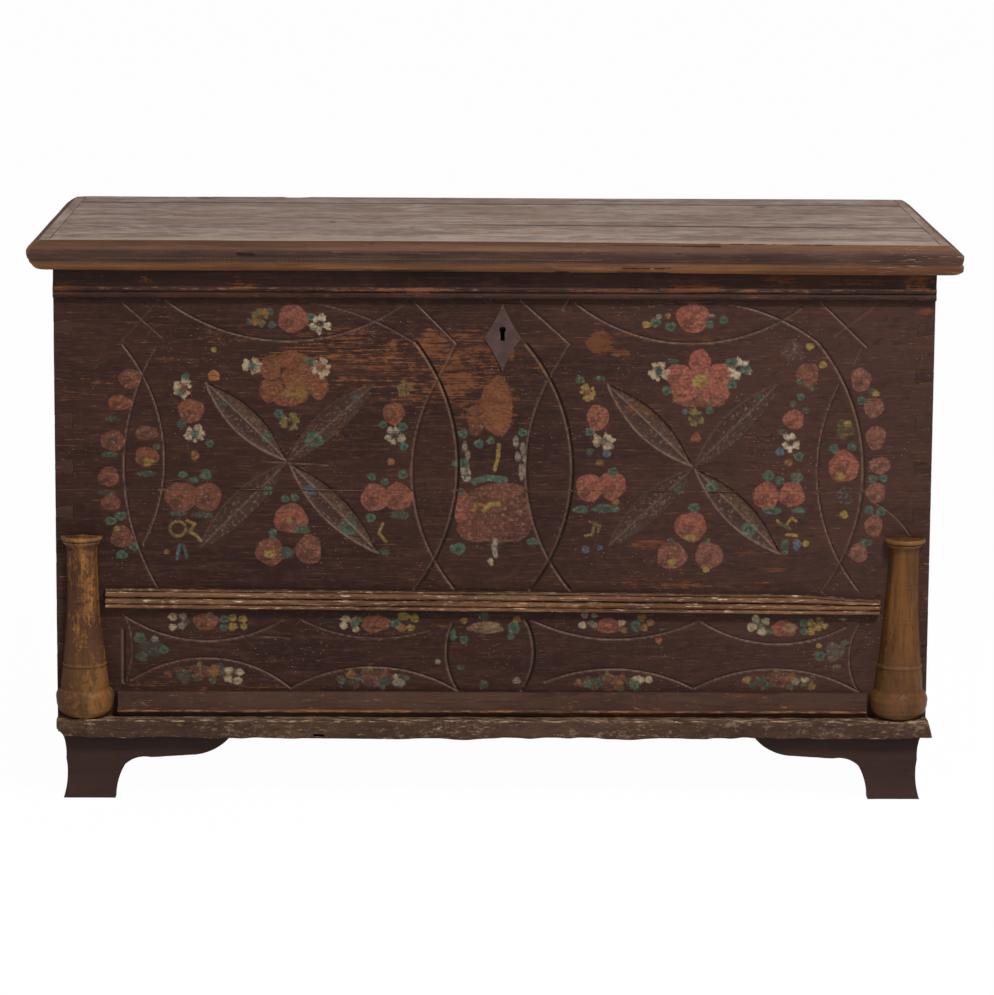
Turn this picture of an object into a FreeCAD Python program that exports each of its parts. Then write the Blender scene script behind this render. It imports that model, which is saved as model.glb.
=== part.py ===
import FreeCAD, Part
import math
import os
import Sketcher

# Wedding chest of painted pine: a dovetailed six-board box on bracket feet, with a moulded lid
# on two strap hinges, two split columns, a till at the left end and an iron lock.
# Frame: X along the length, -Y is the painted front, +Z up. The origin is the middle of the
# ground the chest stands on. All lengths are in millimetres.

SIZES = {
    # the box
    "body_width": 1180,
    "body_depth": 550,
    "wall_height": 629,
    "lower_board_height": 314,
    "board_thickness": 24,
    "floor_thickness": 20,
    "foot_height": 88,
    # through dovetails at the corners
    "pin_narrow": 12,
    "pin_wide": 20,
    # the lid and its moulded rim
    "lid_thickness": 25,
    "lid_front_board": 192,
    "lid_back_board": 87,
    "rim_thickness": 29,
    "rim_drop": 16,
    "lid_clearance": 3,
    # mouldings nailed on the front
    "frieze_height": 55,
    "frieze_thickness": 8,
    "frieze_bead": 9,
    "middle_height": 26.5,
    "middle_reach": 14,
    "middle_top": 288,
    "middle_sag": 7,
    "middle_gap": 5,
    "base_height": 34,
    "base_reach": 14,
    "base_gap": 1,
    "plinth_height": 24,
    "plinth_reach": 30,
    "plinth_round": 5,
    # split columns
    "column_margin": 0.5,
    "column_height": 247,
    "column_lean": 8,
    "bun_radius": 40,
    "bun_height": 38,
    "cup_height": 32,
    "ring_height": 5,
    "ring_radius": 30.5,
    "shaft_base_radius": 29,
    "shaft_neck_radius": 21,
    "cap_radius": 28.5,
    "cap_height": 13,
    # bracket feet
    "bracket_length": 229,
    "bracket_thickness": 20,
    "bracket_inset": 14,
    "bracket_side_inset": 8,
    "bracket_toe": 71,
    "block_side": 34,
    "block_height": 70,
    # iron escutcheon and keyhole
    "escutcheon_width": 51,
    "escutcheon_height": 94,
    "escutcheon_thickness": 1.6,
    "escutcheon_drop": 107,
    "key_offset": 10,
    "key_drop": 96,
    "key_radius": 4.2,
    "key_slot": 5.6,
    "key_height": 19.5,
    "key_play": 0.6,
    # strap hinges
    "hinge_inset": 210,
    "barrel_radius": 5.5,
    "barrel_gap": 0.5,
    "pin_radius": 2.6,
    "pin_play": 0.4,
    "strap_thickness": 3,
    "strap_width": 34,
    "strap_length": 250,
    "strap_end_width": 20,
    "strap_spear": 34,
    "knuckle_width": 13,
    "knuckle_gap": 0.5,
    "leaf_length": 104,
    "pin_head": 2,
    # forged nails
    "nail_half": 1.7,
    "nail_head_half": 4.2,
    "nail_head_height": 2,
    "nail_bite": 14,
    "nail_play": 0.1,
    "floor_nail_bite": 30,
    "brad_half": 1,
    "brad_head_half": 2.2,
    "brad_head_height": 1,
    "brad_bite": 8,
    # chest lock
    "lock_width": 124,
    "lock_height": 132,
    "lock_foot": 42,
    "lock_thickness": 2.5,
    "lock_corner": 14,
    "bolt_thickness": 5,
    "bolt_rise": 8,
    "bolt_height": 12,
    "bolt_level": 66,
    "bolt_left": 58,
    "bolt_right": 35,
    "bolt_play": 0.4,
    "arm_width": 22,
    "arm_foot": 10,
    "talon_width": 10,
    "talon_height": 8,
    "guide_width": 6,
    "guide_wall": 3,
    "guide_left": 38,
    "guide_right": 28.5,
    "guide_base": 2,
    "bridge_length": 60,
    "bridge_width": 14,
    "bridge_rise": 16,
    "bridge_thickness": 2.5,
    "key_pin_radius": 2,
    "key_pin_reach": 26,
    "spring_thickness": 1.6,
    "spring_length": 42,
    "spring_post": 6,
    "spring_rise": 12,
    # staple under the lid
    "staple_offset": 41,
    "staple_width": 6,
    "staple_bar": 4,
    "staple_window": 8,
    "staple_depth": 34.5,
    "staple_plate_length": 44,
    "staple_plate_width": 21,
    "staple_plate_thickness": 2.5,
    "staple_set_back": 10.5,
    # till at the left end
    "till_width": 112,
    "till_depth": 100,
    "till_board": 8,
    "till_housing": 5,
    "till_lid_thickness": 9,
    "till_lid_lip": 5,
    "till_pivot_inset": 6,
    "till_pivot_radius": 3.8,
    "till_play": 0.5,
    "till_swing_gap": 12,
}

PINS_PER_BOARD = 5
FLOOR_BOARDS = 3

# Places along a piece, as shares of the length of that piece.
STRAP_NAIL_SHARES = (0.17, 0.29, 0.5, 0.72, 0.94)
LEAF_NAIL_SHARES = (0.24, 0.54, 0.84)
FLOOR_NAIL_SHARES = (0.23, 0.37, 0.5, 0.63, 0.77)
SIDE_NAIL_SHARES = (0.44, 0.54)

doc = FreeCAD.newDocument("WeddingChest")
sheet = doc.addObject("Spreadsheet::Sheet", "Sizes")


class Size:
    """A length with its value and the expression that ties it to the sheet."""

    def __init__(self, value, text):
        self.value = float(value)
        self.text = text

    def __add__(self, other):
        other = as_size(other)
        return Size(self.value + other.value, "(" + self.text + " + " + other.text + ")")

    def __radd__(self, other):
        return as_size(other) + self

    def __sub__(self, other):
        other = as_size(other)
        return Size(self.value - other.value, "(" + self.text + " - " + other.text + ")")

    def __rsub__(self, other):
        return as_size(other) - self

    def __mul__(self, other):
        other = as_size(other)
        return Size(self.value * other.value, "(" + self.text + " * " + other.text + ")")

    def __rmul__(self, other):
        return as_size(other) * self

    def __truediv__(self, other):
        other = as_size(other)
        return Size(self.value / other.value, "(" + self.text + " / " + other.text + ")")

    def __neg__(self):
        return Size(-self.value, "(0 - " + self.text + ")")


def as_size(thing):
    if isinstance(thing, Size):
        return thing
    return Size(thing, format(thing, ".9g"))


def root(square):
    return Size(math.sqrt(square.value), "sqrt(" + square.text + ")")


class Sheet:
    """The named sizes, each tied to its cell."""


S = Sheet()
for row, (size_name, size_value) in enumerate(SIZES.items(), start=1):
    sheet.set("A%d" % row, size_name)
    sheet.set("B%d" % row, format(size_value, ".9g"))
    sheet.setAlias("B%d" % row, size_name)
    setattr(S, size_name, Size(size_value, "Sizes." + size_name))
doc.recompute()

# Levels and planes that several pieces share.
half_width = S.body_width / 2
lid_reach = S.frieze_thickness + S.lid_clearance + S.rim_thickness
hinge_reach = S.barrel_gap + S.barrel_radius * 2
front_y = (lid_reach - hinge_reach - S.body_depth) / 2
back_y = front_y + S.body_depth
middle_y = front_y + S.body_depth / 2
wall_z = S.foot_height + S.floor_thickness
seam_z = wall_z + S.lower_board_height
top_z = wall_z + S.wall_height
upper_board_height = S.wall_height - S.lower_board_height
inside_x = half_width - S.board_thickness
inside_front_y = front_y + S.board_thickness
inside_back_y = back_y - S.board_thickness
lid_half_width = half_width + S.lid_clearance
lid_front_y = front_y - S.frieze_thickness - S.lid_clearance
rim_height = S.lid_thickness + S.rim_drop
axis_y = back_y + S.barrel_gap + S.barrel_radius
axis_z = top_z - S.barrel_radius
key_z = top_z - S.key_drop
lock_face_y = inside_front_y + S.lock_thickness
plinth_top_z = S.foot_height + S.plinth_height
column_spacing = S.body_width - S.bun_radius * 2 - S.column_margin * 2
hinge_spacing = S.body_width - S.hinge_inset * 2

parts = []
cuts = []


# Building steps.
def plane(body, role):
    return [item for item in body.Origin.OriginFeatures if item.Role == role][0]


def new_body(label):
    body = doc.addObject("PartDesign::Body", label)
    body.Label = label
    parts.append(body)
    return body


def new_sketch(body, role, lift=None):
    sketch = body.newObject("Sketcher::SketchObject", body.Label + "_sketch")
    sketch.AttachmentSupport = [(plane(body, role), "")]
    sketch.MapMode = "FlatFace"
    if lift is not None:
        sketch.AttachmentOffset = FreeCAD.Placement(
            FreeCAD.Vector(0, 0, lift.value), FreeCAD.Rotation()
        )
        sketch.setExpression("AttachmentOffset.Base.z", lift.text)
    return sketch


def tie(sketch, geometry, point, x, y):
    """Hold a point of the sketch at x, y from the sketch's origin."""
    for kind, axis, distance in (("DistanceX", -2, x), ("DistanceY", -1, y)):
        if distance.value == 0:
            sketch.addConstraint(Sketcher.Constraint("PointOnObject", geometry, point, axis))
        else:
            mark = sketch.addConstraint(
                Sketcher.Constraint(kind, -1, 1, geometry, point, distance.value)
            )
            sketch.setExpression("Constraints[%d]" % mark, distance.text)


def draw(sketch, corners):
    """Draw a closed outline through corners (x, y) or (x, y, bow).

    A bow is the share of the side after the corner by which that side curves outwards.
    """
    points = []
    for corner in corners:
        bow = corner[2] if len(corner) > 2 else 0
        points.append((as_size(corner[0]), as_size(corner[1]), bow))
    doubled = 0
    for k, here in enumerate(points):
        then = points[(k + 1) % len(points)]
        doubled += here[0].value * then[1].value - then[0].value * here[1].value
    turn = 1 if doubled > 0 else -1
    sides = []
    for k, here in enumerate(points):
        then = points[(k + 1) % len(points)]
        start = FreeCAD.Vector(here[0].value, here[1].value, 0)
        end = FreeCAD.Vector(then[0].value, then[1].value, 0)
        if here[2] == 0:
            side = sketch.addGeometry(Part.LineSegment(start, end))
            sides.append((side, 1, 2))
            continue
        along = end - start
        right = FreeCAD.Vector(along.y, -along.x, 0)
        bulge = here[2] * turn
        radius_share = (0.25 + bulge * bulge) / (2 * abs(bulge))
        centre = (start + end) * 0.5 + right * (bulge - math.copysign(radius_share, bulge))
        radius = along.Length * radius_share
        first, last = (start, end) if bulge > 0 else (end, start)
        angles = [math.atan2(p.y - centre.y, p.x - centre.x) for p in (first, last)]
        circle = Part.Circle(centre, FreeCAD.Vector(0, 0, 1), radius)
        side = sketch.addGeometry(Part.ArcOfCircle(circle, angles[0], angles[1]))
        sides.append((side, 1, 2) if bulge > 0 else (side, 2, 1))
    for k, side in enumerate(sides):
        then = sides[(k + 1) % len(sides)]
        sketch.addConstraint(
            Sketcher.Constraint("Coincident", side[0], side[2], then[0], then[1])
        )
    for side, here in zip(sides, points):
        tie(sketch, side[0], side[1], here[0], here[1])
    for k, here in enumerate(points):
        if here[2] == 0:
            continue
        then = points[(k + 1) % len(points)]
        across = then[0] - here[0]
        up = then[1] - here[1]
        bulge = abs(here[2])
        radius = root(across * across + up * up) * ((0.25 + bulge * bulge) / (2 * bulge))
        mark = sketch.addConstraint(Sketcher.Constraint("Radius", sides[k][0], radius.value))
        sketch.setExpression("Constraints[%d]" % mark, radius.text)


def draw_circle(sketch, x, y, radius):
    x = as_size(x)
    y = as_size(y)
    centre = FreeCAD.Vector(x.value, y.value, 0)
    side = sketch.addGeometry(
        Part.Circle(centre, FreeCAD.Vector(0, 0, 1), radius.value)
    )
    tie(sketch, side, 3, x, y)
    mark = sketch.addConstraint(Sketcher.Constraint("Radius", side, radius.value))
    sketch.setExpression("Constraints[%d]" % mark, radius.text)


def rectangle(left, right, low, high):
    return [(left, low), (right, low), (right, high), (left, high)]


def draw_square(sketch, x, y, half):
    x = as_size(x)
    y = as_size(y)
    draw(sketch, rectangle(x - half, x + half, y - half, y + half))


def pad(body, sketch, length, reverse=False, centred=False):
    step = body.newObject("PartDesign::Pad", body.Label + "_pad")
    step.Profile = sketch
    step.Length = length.value
    step.setExpression("Length", length.text)
    step.Reversed = reverse
    step.Midplane = centred
    return step


def pocket(body, sketch, depth, reverse=False, centred=False):
    step = body.newObject("PartDesign::Pocket", body.Label + "_pocket")
    step.Profile = sketch
    step.Length = depth.value
    step.setExpression("Length", depth.text)
    step.Reversed = reverse
    step.Midplane = centred
    cuts.append((body, step))
    return step


def turn(body, sketch, angle=360, reverse=False):
    step = body.newObject("PartDesign::Revolution", body.Label + "_turning")
    step.Profile = sketch
    step.ReferenceAxis = (sketch, ["V_Axis"])
    step.Angle = angle
    step.Reversed = reverse
    return step


def repeat(body, steps, direction, length, count):
    row_of = body.newObject("PartDesign::LinearPattern", body.Label + "_row")
    row_of.Originals = steps
    row_of.Direction = direction
    row_of.Length = length.value
    row_of.setExpression("Length", length.text)
    row_of.Occurrences = count
    body.Tip = row_of
    return row_of


def place(body, x, y, z):
    x, y, z = as_size(x), as_size(y), as_size(z)
    body.Placement = FreeCAD.Placement(
        FreeCAD.Vector(x.value, y.value, z.value), body.Placement.Rotation
    )
    body.setExpression("Placement.Base.x", x.text)
    body.setExpression("Placement.Base.y", y.text)
    body.setExpression("Placement.Base.z", z.text)


def nail(half, bite, head_half, head_height):
    """A forged nail that points up: a square shank and a hammered head below z = 0."""
    shank = Part.makeBox(
        half.value * 2, half.value * 2, bite.value, FreeCAD.Vector(-half.value, -half.value, 0)
    )
    wide, crown = head_half.value, head_half.value / 3
    head = Part.makeWedge(
        -wide, 0, -wide, -crown, -crown, wide, head_height.value, wide, crown, crown
    )
    head.rotate(FreeCAD.Vector(0, 0, 0), FreeCAD.Vector(1, 0, 0), -90)
    return shank.fuse(head).removeSplitter()


def nail_group(label, shape, places, way):
    """One node of equal nails, each at a place and driven along a direction."""
    group = doc.addObject("Part::Feature", label)
    group.Label = label
    turned = FreeCAD.Rotation(FreeCAD.Vector(0, 0, 1), way)
    nails = []
    for x, y, z in places:
        spot = FreeCAD.Vector(as_size(x).value, as_size(y).value, as_size(z).value)
        one = shape.copy()
        one.Placement = FreeCAD.Placement(spot, turned)
        nails.append(one)
    group.Shape = Part.makeCompound(nails)
    parts.append(group)
    return group


UP = FreeCAD.Vector(0, 0, 1)
FORWARD = FreeCAD.Vector(0, -1, 0)
BACKWARD = FreeCAD.Vector(0, 1, 0)

# Places of the nails.
nail_hole = S.nail_half + S.nail_play
brad_hole = S.brad_half + S.nail_play
floor_nail_places = []
for share in FLOOR_NAIL_SHARES:
    along = S.body_width * share - half_width
    floor_nail_places.append((along, front_y + S.board_thickness / 2))
    floor_nail_places.append((along, back_y - S.board_thickness / 2))
for side in (-1, 1):
    for share in SIDE_NAIL_SHARES:
        floor_nail_places.append(
            (side * (half_width - S.board_thickness / 2), front_y + S.body_depth * share)
        )
leaf_nail_levels = [axis_z - S.leaf_length * share for share in LEAF_NAIL_SHARES]
strap_nail_rows = [axis_y - S.strap_length * share for share in STRAP_NAIL_SHARES]
lock_nail_places = []
for side in (-1, 1):
    for level in (S.lock_height - S.lock_foot - S.lock_corner, S.lock_corner - S.lock_foot):
        lock_nail_places.append((S.key_offset + side * (S.lock_width / 2 - S.lock_corner / 2),
                                 key_z + level))

# Till levels.
till_lid_span = S.till_width + S.till_board + S.till_lid_lip - S.till_pivot_inset
till_axis_x = S.till_pivot_inset - inside_x
till_axis_z = top_z - S.strap_thickness - S.till_swing_gap - till_lid_span
till_top_z = till_axis_z - S.till_lid_thickness / 2 - S.till_play
till_floor_z = till_top_z - S.till_depth - S.till_board
till_wall_x = S.till_width - inside_x


# Front, back and side boards with through dovetails.
def keyhole(sketch, x, z, play):
    """A round hole over a slot, widened all round by the play."""
    radius = S.key_radius + play
    reach = S.key_slot / 2 + play
    rise = root(radius * radius - reach * reach)
    foot = S.key_radius - S.key_height - play
    bow = (radius + rise) / (reach * 2)
    draw(sketch, [(x - reach, z + foot), (x + reach, z + foot),
                  (x + reach, z - rise, bow.value), (x - reach, z - rise)])


def long_board(label, bottom, height, y):
    body = new_body(label)
    face = new_sketch(body, "XZ_Plane")
    draw(face, rectangle(-half_width, half_width, 0, height))
    pad(body, face, S.board_thickness, reverse=True)
    sockets = new_sketch(body, "XZ_Plane")
    level = height / (2 * PINS_PER_BOARD)
    for side in (-1, 1):
        draw(sockets, [
            (side * inside_x, level - S.pin_wide / 2),
            (side * half_width, level - S.pin_narrow / 2),
            (side * half_width, level + S.pin_narrow / 2),
            (side * inside_x, level + S.pin_wide / 2),
        ])
    socket = pocket(body, sockets, S.board_thickness)
    repeat(body, [socket], (sockets, ["V_Axis"]), height - height / PINS_PER_BOARD,
           PINS_PER_BOARD)
    place(body, 0, y, bottom)
    return body


def side_board(label, side, bottom, height):
    body = new_body(label)
    section = new_sketch(body, "XZ_Plane")
    depth = -side * S.board_thickness
    draw(section, rectangle(0, depth, 0, height))
    pad(body, section, S.body_depth - S.board_thickness * 2, centred=True)
    pins = new_sketch(body, "XZ_Plane")
    level = height / (2 * PINS_PER_BOARD)
    draw(pins, [
        (depth, level - S.pin_wide / 2),
        (0, level - S.pin_narrow / 2),
        (0, level + S.pin_narrow / 2),
        (depth, level + S.pin_wide / 2),
    ])
    pin = pad(body, pins, S.body_depth, centred=True)
    repeat(body, [pin], (pins, ["V_Axis"]), height - height / PINS_PER_BOARD, PINS_PER_BOARD)
    place(body, side * half_width, middle_y, bottom)
    return body


front_board_lower = long_board("front_board_lower", wall_z, S.lower_board_height, front_y)
front_board_upper = long_board("front_board_upper", seam_z, upper_board_height, front_y)
inside_of_back = back_y - S.board_thickness
back_board_lower = long_board("back_board_lower", wall_z, S.lower_board_height, inside_of_back)
back_board_upper = long_board("back_board_upper", seam_z, upper_board_height, inside_of_back)
side_boards = {}
for side, hand in ((-1, "left"), (1, "right")):
    side_boards[hand] = side_board(
        "side_board_lower_" + hand, side, wall_z, S.lower_board_height)
    side_board("side_board_upper_" + hand, side, seam_z, upper_board_height)

# Nail holes in the lower edges of the walls.
for body, y in ((front_board_lower, front_y), (back_board_lower, inside_of_back)):
    holes = new_sketch(body, "XY_Plane")
    for share in FLOOR_NAIL_SHARES:
        draw_square(holes, S.body_width * share - half_width, S.board_thickness / 2, nail_hole)
    pocket(body, holes, S.floor_nail_bite, reverse=True)
for side, hand in ((-1, "left"), (1, "right")):
    holes = new_sketch(side_boards[hand], "XY_Plane")
    for share in SIDE_NAIL_SHARES:
        draw_square(holes, side * S.board_thickness / -2,
                    S.body_depth * share - S.body_depth / 2, nail_hole)
    pocket(side_boards[hand], holes, S.floor_nail_bite, reverse=True)

# Keyhole through the front.
hole = new_sketch(front_board_upper, "XZ_Plane")
keyhole(hole, S.key_offset, key_z - seam_z, S.key_play)
pocket(front_board_upper, hole, S.board_thickness)

# Housings that hold the till, and the round holes that its lid turns in.
wall_outer_x = till_wall_x + S.till_board
housing_outline = [
    (-inside_x, till_floor_z - seam_z),
    (wall_outer_x, till_floor_z - seam_z),
    (wall_outer_x, till_top_z - seam_z),
    (till_wall_x, till_top_z - seam_z),
    (till_wall_x, till_floor_z + S.till_board - seam_z),
    (-inside_x, till_floor_z + S.till_board - seam_z),
]
for body, lift, reverse in ((front_board_upper, -S.board_thickness, True),
                            (back_board_upper, None, False)):
    housing = new_sketch(body, "XZ_Plane", lift)
    draw(housing, housing_outline)
    pocket(body, housing, S.till_housing, reverse=reverse)
    pivot = new_sketch(body, "XZ_Plane", lift)
    draw_circle(pivot, till_axis_x, till_axis_z - seam_z, S.till_pivot_radius + S.till_play)
    pocket(body, pivot, S.till_housing + S.till_play, reverse=reverse)

# Holes for the lock nails and the escutcheon's brads.
holes = new_sketch(front_board_upper, "XZ_Plane", -S.board_thickness)
for x, z in lock_nail_places:
    draw_square(holes, x, z - seam_z, nail_hole)
pocket(front_board_upper, holes, S.nail_bite, reverse=True)

brad_inset = S.brad_head_half * 2
escutcheon_z = top_z - S.escutcheon_drop
brad_places = [
    (S.key_offset, escutcheon_z + S.escutcheon_height / 2 - brad_inset * 2),
    (S.key_offset, escutcheon_z - S.escutcheon_height / 2 + brad_inset * 2),
    (S.key_offset - S.escutcheon_width / 2 + brad_inset, escutcheon_z),
    (S.key_offset + S.escutcheon_width / 2 - brad_inset, escutcheon_z),
]
holes = new_sketch(front_board_upper, "XZ_Plane")
for x, z in brad_places:
    draw_square(holes, x, z - seam_z, brad_hole)
pocket(front_board_upper, holes, S.brad_bite)

# Notches that let the hinge straps pass the back board, and holes for the leaf nails.
notch = new_sketch(back_board_upper, "XZ_Plane")
notch_depth = S.strap_thickness + S.barrel_gap
for side in (-1, 1):
    middle = side * hinge_spacing / 2
    reach = S.strap_width / 2 + S.barrel_gap
    draw(notch, rectangle(middle - reach, middle + reach, upper_board_height - notch_depth,
                          upper_board_height))
pocket(back_board_upper, notch, S.board_thickness)
holes = new_sketch(back_board_upper, "XZ_Plane", -S.board_thickness)
for side in (-1, 1):
    for level in leaf_nail_levels:
        draw_square(holes, side * hinge_spacing / 2, level - seam_z, nail_hole)
pocket(back_board_upper, holes, S.nail_bite, reverse=True)

# Floor boards nailed up to the walls.
floor_board_depth = S.body_depth / FLOOR_BOARDS
for number, name in enumerate(("front", "middle", "back")):
    body = new_body("floor_board_" + name)
    plan = new_sketch(body, "XY_Plane")
    draw(plan, rectangle(-half_width, half_width, 0, floor_board_depth))
    pad(body, plan, S.floor_thickness)
    start = front_y + floor_board_depth * number
    holes = new_sketch(body, "XY_Plane")
    for x, y in floor_nail_places:
        if start.value < y.value < (start + floor_board_depth).value:
            draw_square(holes, x, y - start, nail_hole)
    pocket(body, holes, S.floor_thickness, reverse=True)
    place(body, 0, start, S.foot_height)


# Mouldings run along the front; each profile stands out from the wall at y = 0.
def front_moulding(label, profile, length):
    body = new_body(label)
    section = new_sketch(body, "YZ_Plane")
    draw(section, profile)
    pad(body, section, length, centred=True)
    return body


frieze_face = -S.frieze_thickness
frieze = front_moulding("frieze_moulding", [
    (0, 0),
    (0, S.frieze_height),
    (frieze_face, S.frieze_height),
    (frieze_face, S.frieze_bead * 2, 0.34),
    (frieze_face, S.frieze_bead, 0.3),
    (frieze_face * 0.9, 0),
], S.body_width)
place(frieze, 0, front_y, top_z - S.frieze_height)

# Reeded moulding: a fillet over two reeds and a rounded foot.
shaft_middle_radius = (S.shaft_base_radius + S.shaft_neck_radius) / 2
middle_length = (column_spacing + S.column_lean - shaft_middle_radius * 2
                 - S.middle_gap * 2)
reed = S.middle_height
out = -S.middle_reach
middle_moulding = front_moulding("middle_moulding", [
    (0, 0),
    (0, reed),
    (out * 0.7, reed),
    (out * 0.74, reed * 0.9),
    (out * 0.62, reed * 0.87, 0.38),
    (out * 0.64, reed * 0.56),
    (out * 0.56, reed * 0.53),
    (out * 0.68, reed * 0.5, 0.38),
    (out * 0.7, reed * 0.23),
    (out * 0.64, reed * 0.21),
    (out * 0.76, reed * 0.18, 0.4),
    (out * 0.72, 0),
], middle_length)
middle_moulding.Placement.Rotation = FreeCAD.Rotation(
    FreeCAD.Vector(0, 1, 0), math.degrees(math.atan2(S.middle_sag.value, middle_length.value)))
place(middle_moulding, 0, front_y, S.middle_top - S.middle_height - S.middle_sag / 2)

base_length = column_spacing - S.bun_radius * 2 - S.base_gap * 2
step = S.base_height
out = -S.base_reach
base_moulding = front_moulding("base_moulding", [
    (0, 0),
    (0, step),
    (out * 0.64, step),
    (out * 0.72, step * 0.33, 0.1),
    (out * 0.9, step * 0.3, 0.35),
    (out * 0.9, step * 0.17),
    (out * 0.6, step * 0.14),
    (out * 0.6, 0),
], base_length)
place(base_moulding, 0, front_y, plinth_top_z)

out = -S.plinth_reach
plinth = front_moulding("plinth_moulding", [
    (0, 0),
    (0, S.plinth_height),
    (out + S.plinth_round, S.plinth_height, 0.2),
    (out, S.plinth_height - S.plinth_round),
    (out, S.plinth_round * 0.6, 0.2),
    (out + S.plinth_round * 0.6, 0),
], S.body_width)
place(plinth, 0, front_y, S.foot_height)

# Split columns, half round, that stand on the plinth and lean outwards a little.
bun_r = S.bun_radius
cup_z = S.bun_height
ring_z = cup_z + S.cup_height
shaft_z = ring_z + S.ring_height
cap_z = S.column_height - S.cap_height
shaft_middle_z = (shaft_z + cap_z) / 2
column_profile = [
    (0, 0),
    (bun_r * 0.66, 0),
    (bun_r * 0.91, cup_z * 0.2),
    (bun_r, cup_z * 0.6),
    (bun_r, cup_z * 0.86),
    (bun_r * 0.96, cup_z),
    (bun_r * 0.86, cup_z),
    (S.shaft_base_radius * 1.01, ring_z),
    (S.ring_radius, ring_z + S.ring_height * 0.25),
    (S.ring_radius, ring_z + S.ring_height * 0.75),
    (S.shaft_base_radius, shaft_z),
    (shaft_middle_radius * 0.96, shaft_middle_z),
    (S.shaft_neck_radius, cap_z),
    (S.cap_radius, cap_z + S.cap_height * 0.5),
    (S.cap_radius, cap_z + S.cap_height * 0.84),
    (S.cap_radius * 0.94, S.column_height),
    (0, S.column_height),
]
for side, hand in ((-1, "left"), (1, "right")):
    body = new_body("column_" + hand)
    profile = new_sketch(body, "XZ_Plane")
    draw(profile, column_profile)
    turn(body, profile, angle=180, reverse=True)
    lean = math.degrees(math.atan2(S.column_lean.value, S.column_height.value))
    body.Placement.Rotation = FreeCAD.Rotation(FreeCAD.Vector(0, 1, 0), side * lean)
    sink = S.bun_radius * 0.66 * S.column_lean / S.column_height
    place(body, side * column_spacing / 2, front_y, plinth_top_z + sink)

# Iron escutcheon: a lozenge with slightly hollow sides.
body = new_body("escutcheon")
outline = new_sketch(body, "XZ_Plane")
draw(outline, [
    (0, S.escutcheon_height / -2, -0.035),
    (S.escutcheon_width / 2, 0, -0.035),
    (0, S.escutcheon_height / 2, -0.035),
    (S.escutcheon_width / -2, 0, -0.035),
])
pad(body, outline, S.escutcheon_thickness)
hole = new_sketch(body, "XZ_Plane")
keyhole(hole, as_size(0), key_z - escutcheon_z, as_size(0))
for x, z in brad_places:
    draw_square(hole, x - S.key_offset, z - escutcheon_z, brad_hole)
pocket(body, hole, S.escutcheon_thickness, reverse=True)
place(body, S.key_offset, front_y, escutcheon_z)

# Bracket feet: each corner is two hollow-faced boards mitred together over a glue block.
foot = S.foot_height
hollow = S.bracket_thickness
foot_x = half_width - S.bracket_side_inset
foot_front_y = front_y - S.plinth_reach + S.bracket_inset
foot_back_y = back_y - S.bracket_inset / 2


def bracket_section(outward):
    """Section across a bracket board; its foot lies at z = 0 and its inner face at 0."""
    return [
        (0, 0),
        (outward * hollow, 0, -0.06),
        (outward * hollow * 0.8, foot * 0.62, -0.05),
        (outward * hollow, foot),
        (0, foot),
    ]


def bracket_opening(way):
    """The part sawn away under a bracket, from the toe to the tip."""
    toe = S.bracket_toe
    tip = S.bracket_length
    return [
        (way * toe, 0, 0.065),
        (way * (toe + (tip - toe) * 0.08), foot * 0.51, 0.13),
        (way * (toe + (tip - toe) * 0.3), foot * 0.63),
        (way * (toe + (tip - toe) * 0.65), foot * 0.67, -0.12),
        (way * tip, foot),
        (way * (tip + S.bracket_inset), foot),
        (way * (tip + S.bracket_inset), 0),
    ]


def bracket(label, side_x, side_y, along_x):
    """A bracket board; local origin at the outer corner of the foot on the ground."""
    body = new_body(label)
    inner = S.bracket_thickness
    if along_x:
        section = new_sketch(body, "YZ_Plane", -side_x * S.bracket_length / 2)
        inner_y = -side_y * inner
        outline = [(point[0] + inner_y,) + tuple(point[1:]) for point in bracket_section(side_y)]
        view, way = "XZ_Plane", -side_x
    else:
        section = new_sketch(body, "XZ_Plane", side_y * S.bracket_length / 2)
        inner_x = -side_x * inner
        outline = [(point[0] + inner_x,) + tuple(point[1:]) for point in bracket_section(side_x)]
        view, way = "YZ_Plane", -side_y
    draw(section, outline)
    pad(body, section, S.bracket_length, centred=True)
    mitre = new_sketch(body, "XY_Plane")
    over = S.bracket_inset
    if along_x:
        draw(mitre, [(side_x * over, side_y * over),
                     (-side_x * (inner + over), -side_y * (inner + over)),
                     (side_x * over, -side_y * (inner + over))])
    else:
        draw(mitre, [(side_x * over, side_y * over),
                     (-side_x * (inner + over), -side_y * (inner + over)),
                     (-side_x * (inner + over), side_y * over)])
    pocket(body, mitre, S.foot_height, reverse=True)
    curve = new_sketch(body, view)
    draw(curve, bracket_opening(way))
    pocket(body, curve, S.bracket_thickness * 4, centred=True)
    return body


for side_y, row_name, corner_y in ((-1, "front", foot_front_y), (1, "back", foot_back_y)):
    for side_x, hand in ((-1, "left"), (1, "right")):
        corner = row_name + "_" + hand
        long_one = bracket("foot_bracket_" + corner + "_long", side_x, side_y, True)
        place(long_one, side_x * foot_x, corner_y, 0)
        side_one = bracket("foot_bracket_" + corner + "_side", side_x, side_y, False)
        place(side_one, side_x * foot_x, corner_y, 0)
        block = new_body("foot_block_" + corner)
        plan = new_sketch(block, "XY_Plane")
        cut_corner = S.block_side * 0.35
        draw(plan, [
            (0, 0),
            (-side_x * S.block_side, 0),
            (-side_x * S.block_side, -side_y * cut_corner),
            (-side_x * cut_corner, -side_y * S.block_side),
            (0, -side_y * S.block_side),
        ])
        pad(block, plan, S.block_height)
        place(block, side_x * (foot_x - S.bracket_thickness),
              corner_y - side_y * S.bracket_thickness, S.foot_height - S.block_height)

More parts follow.
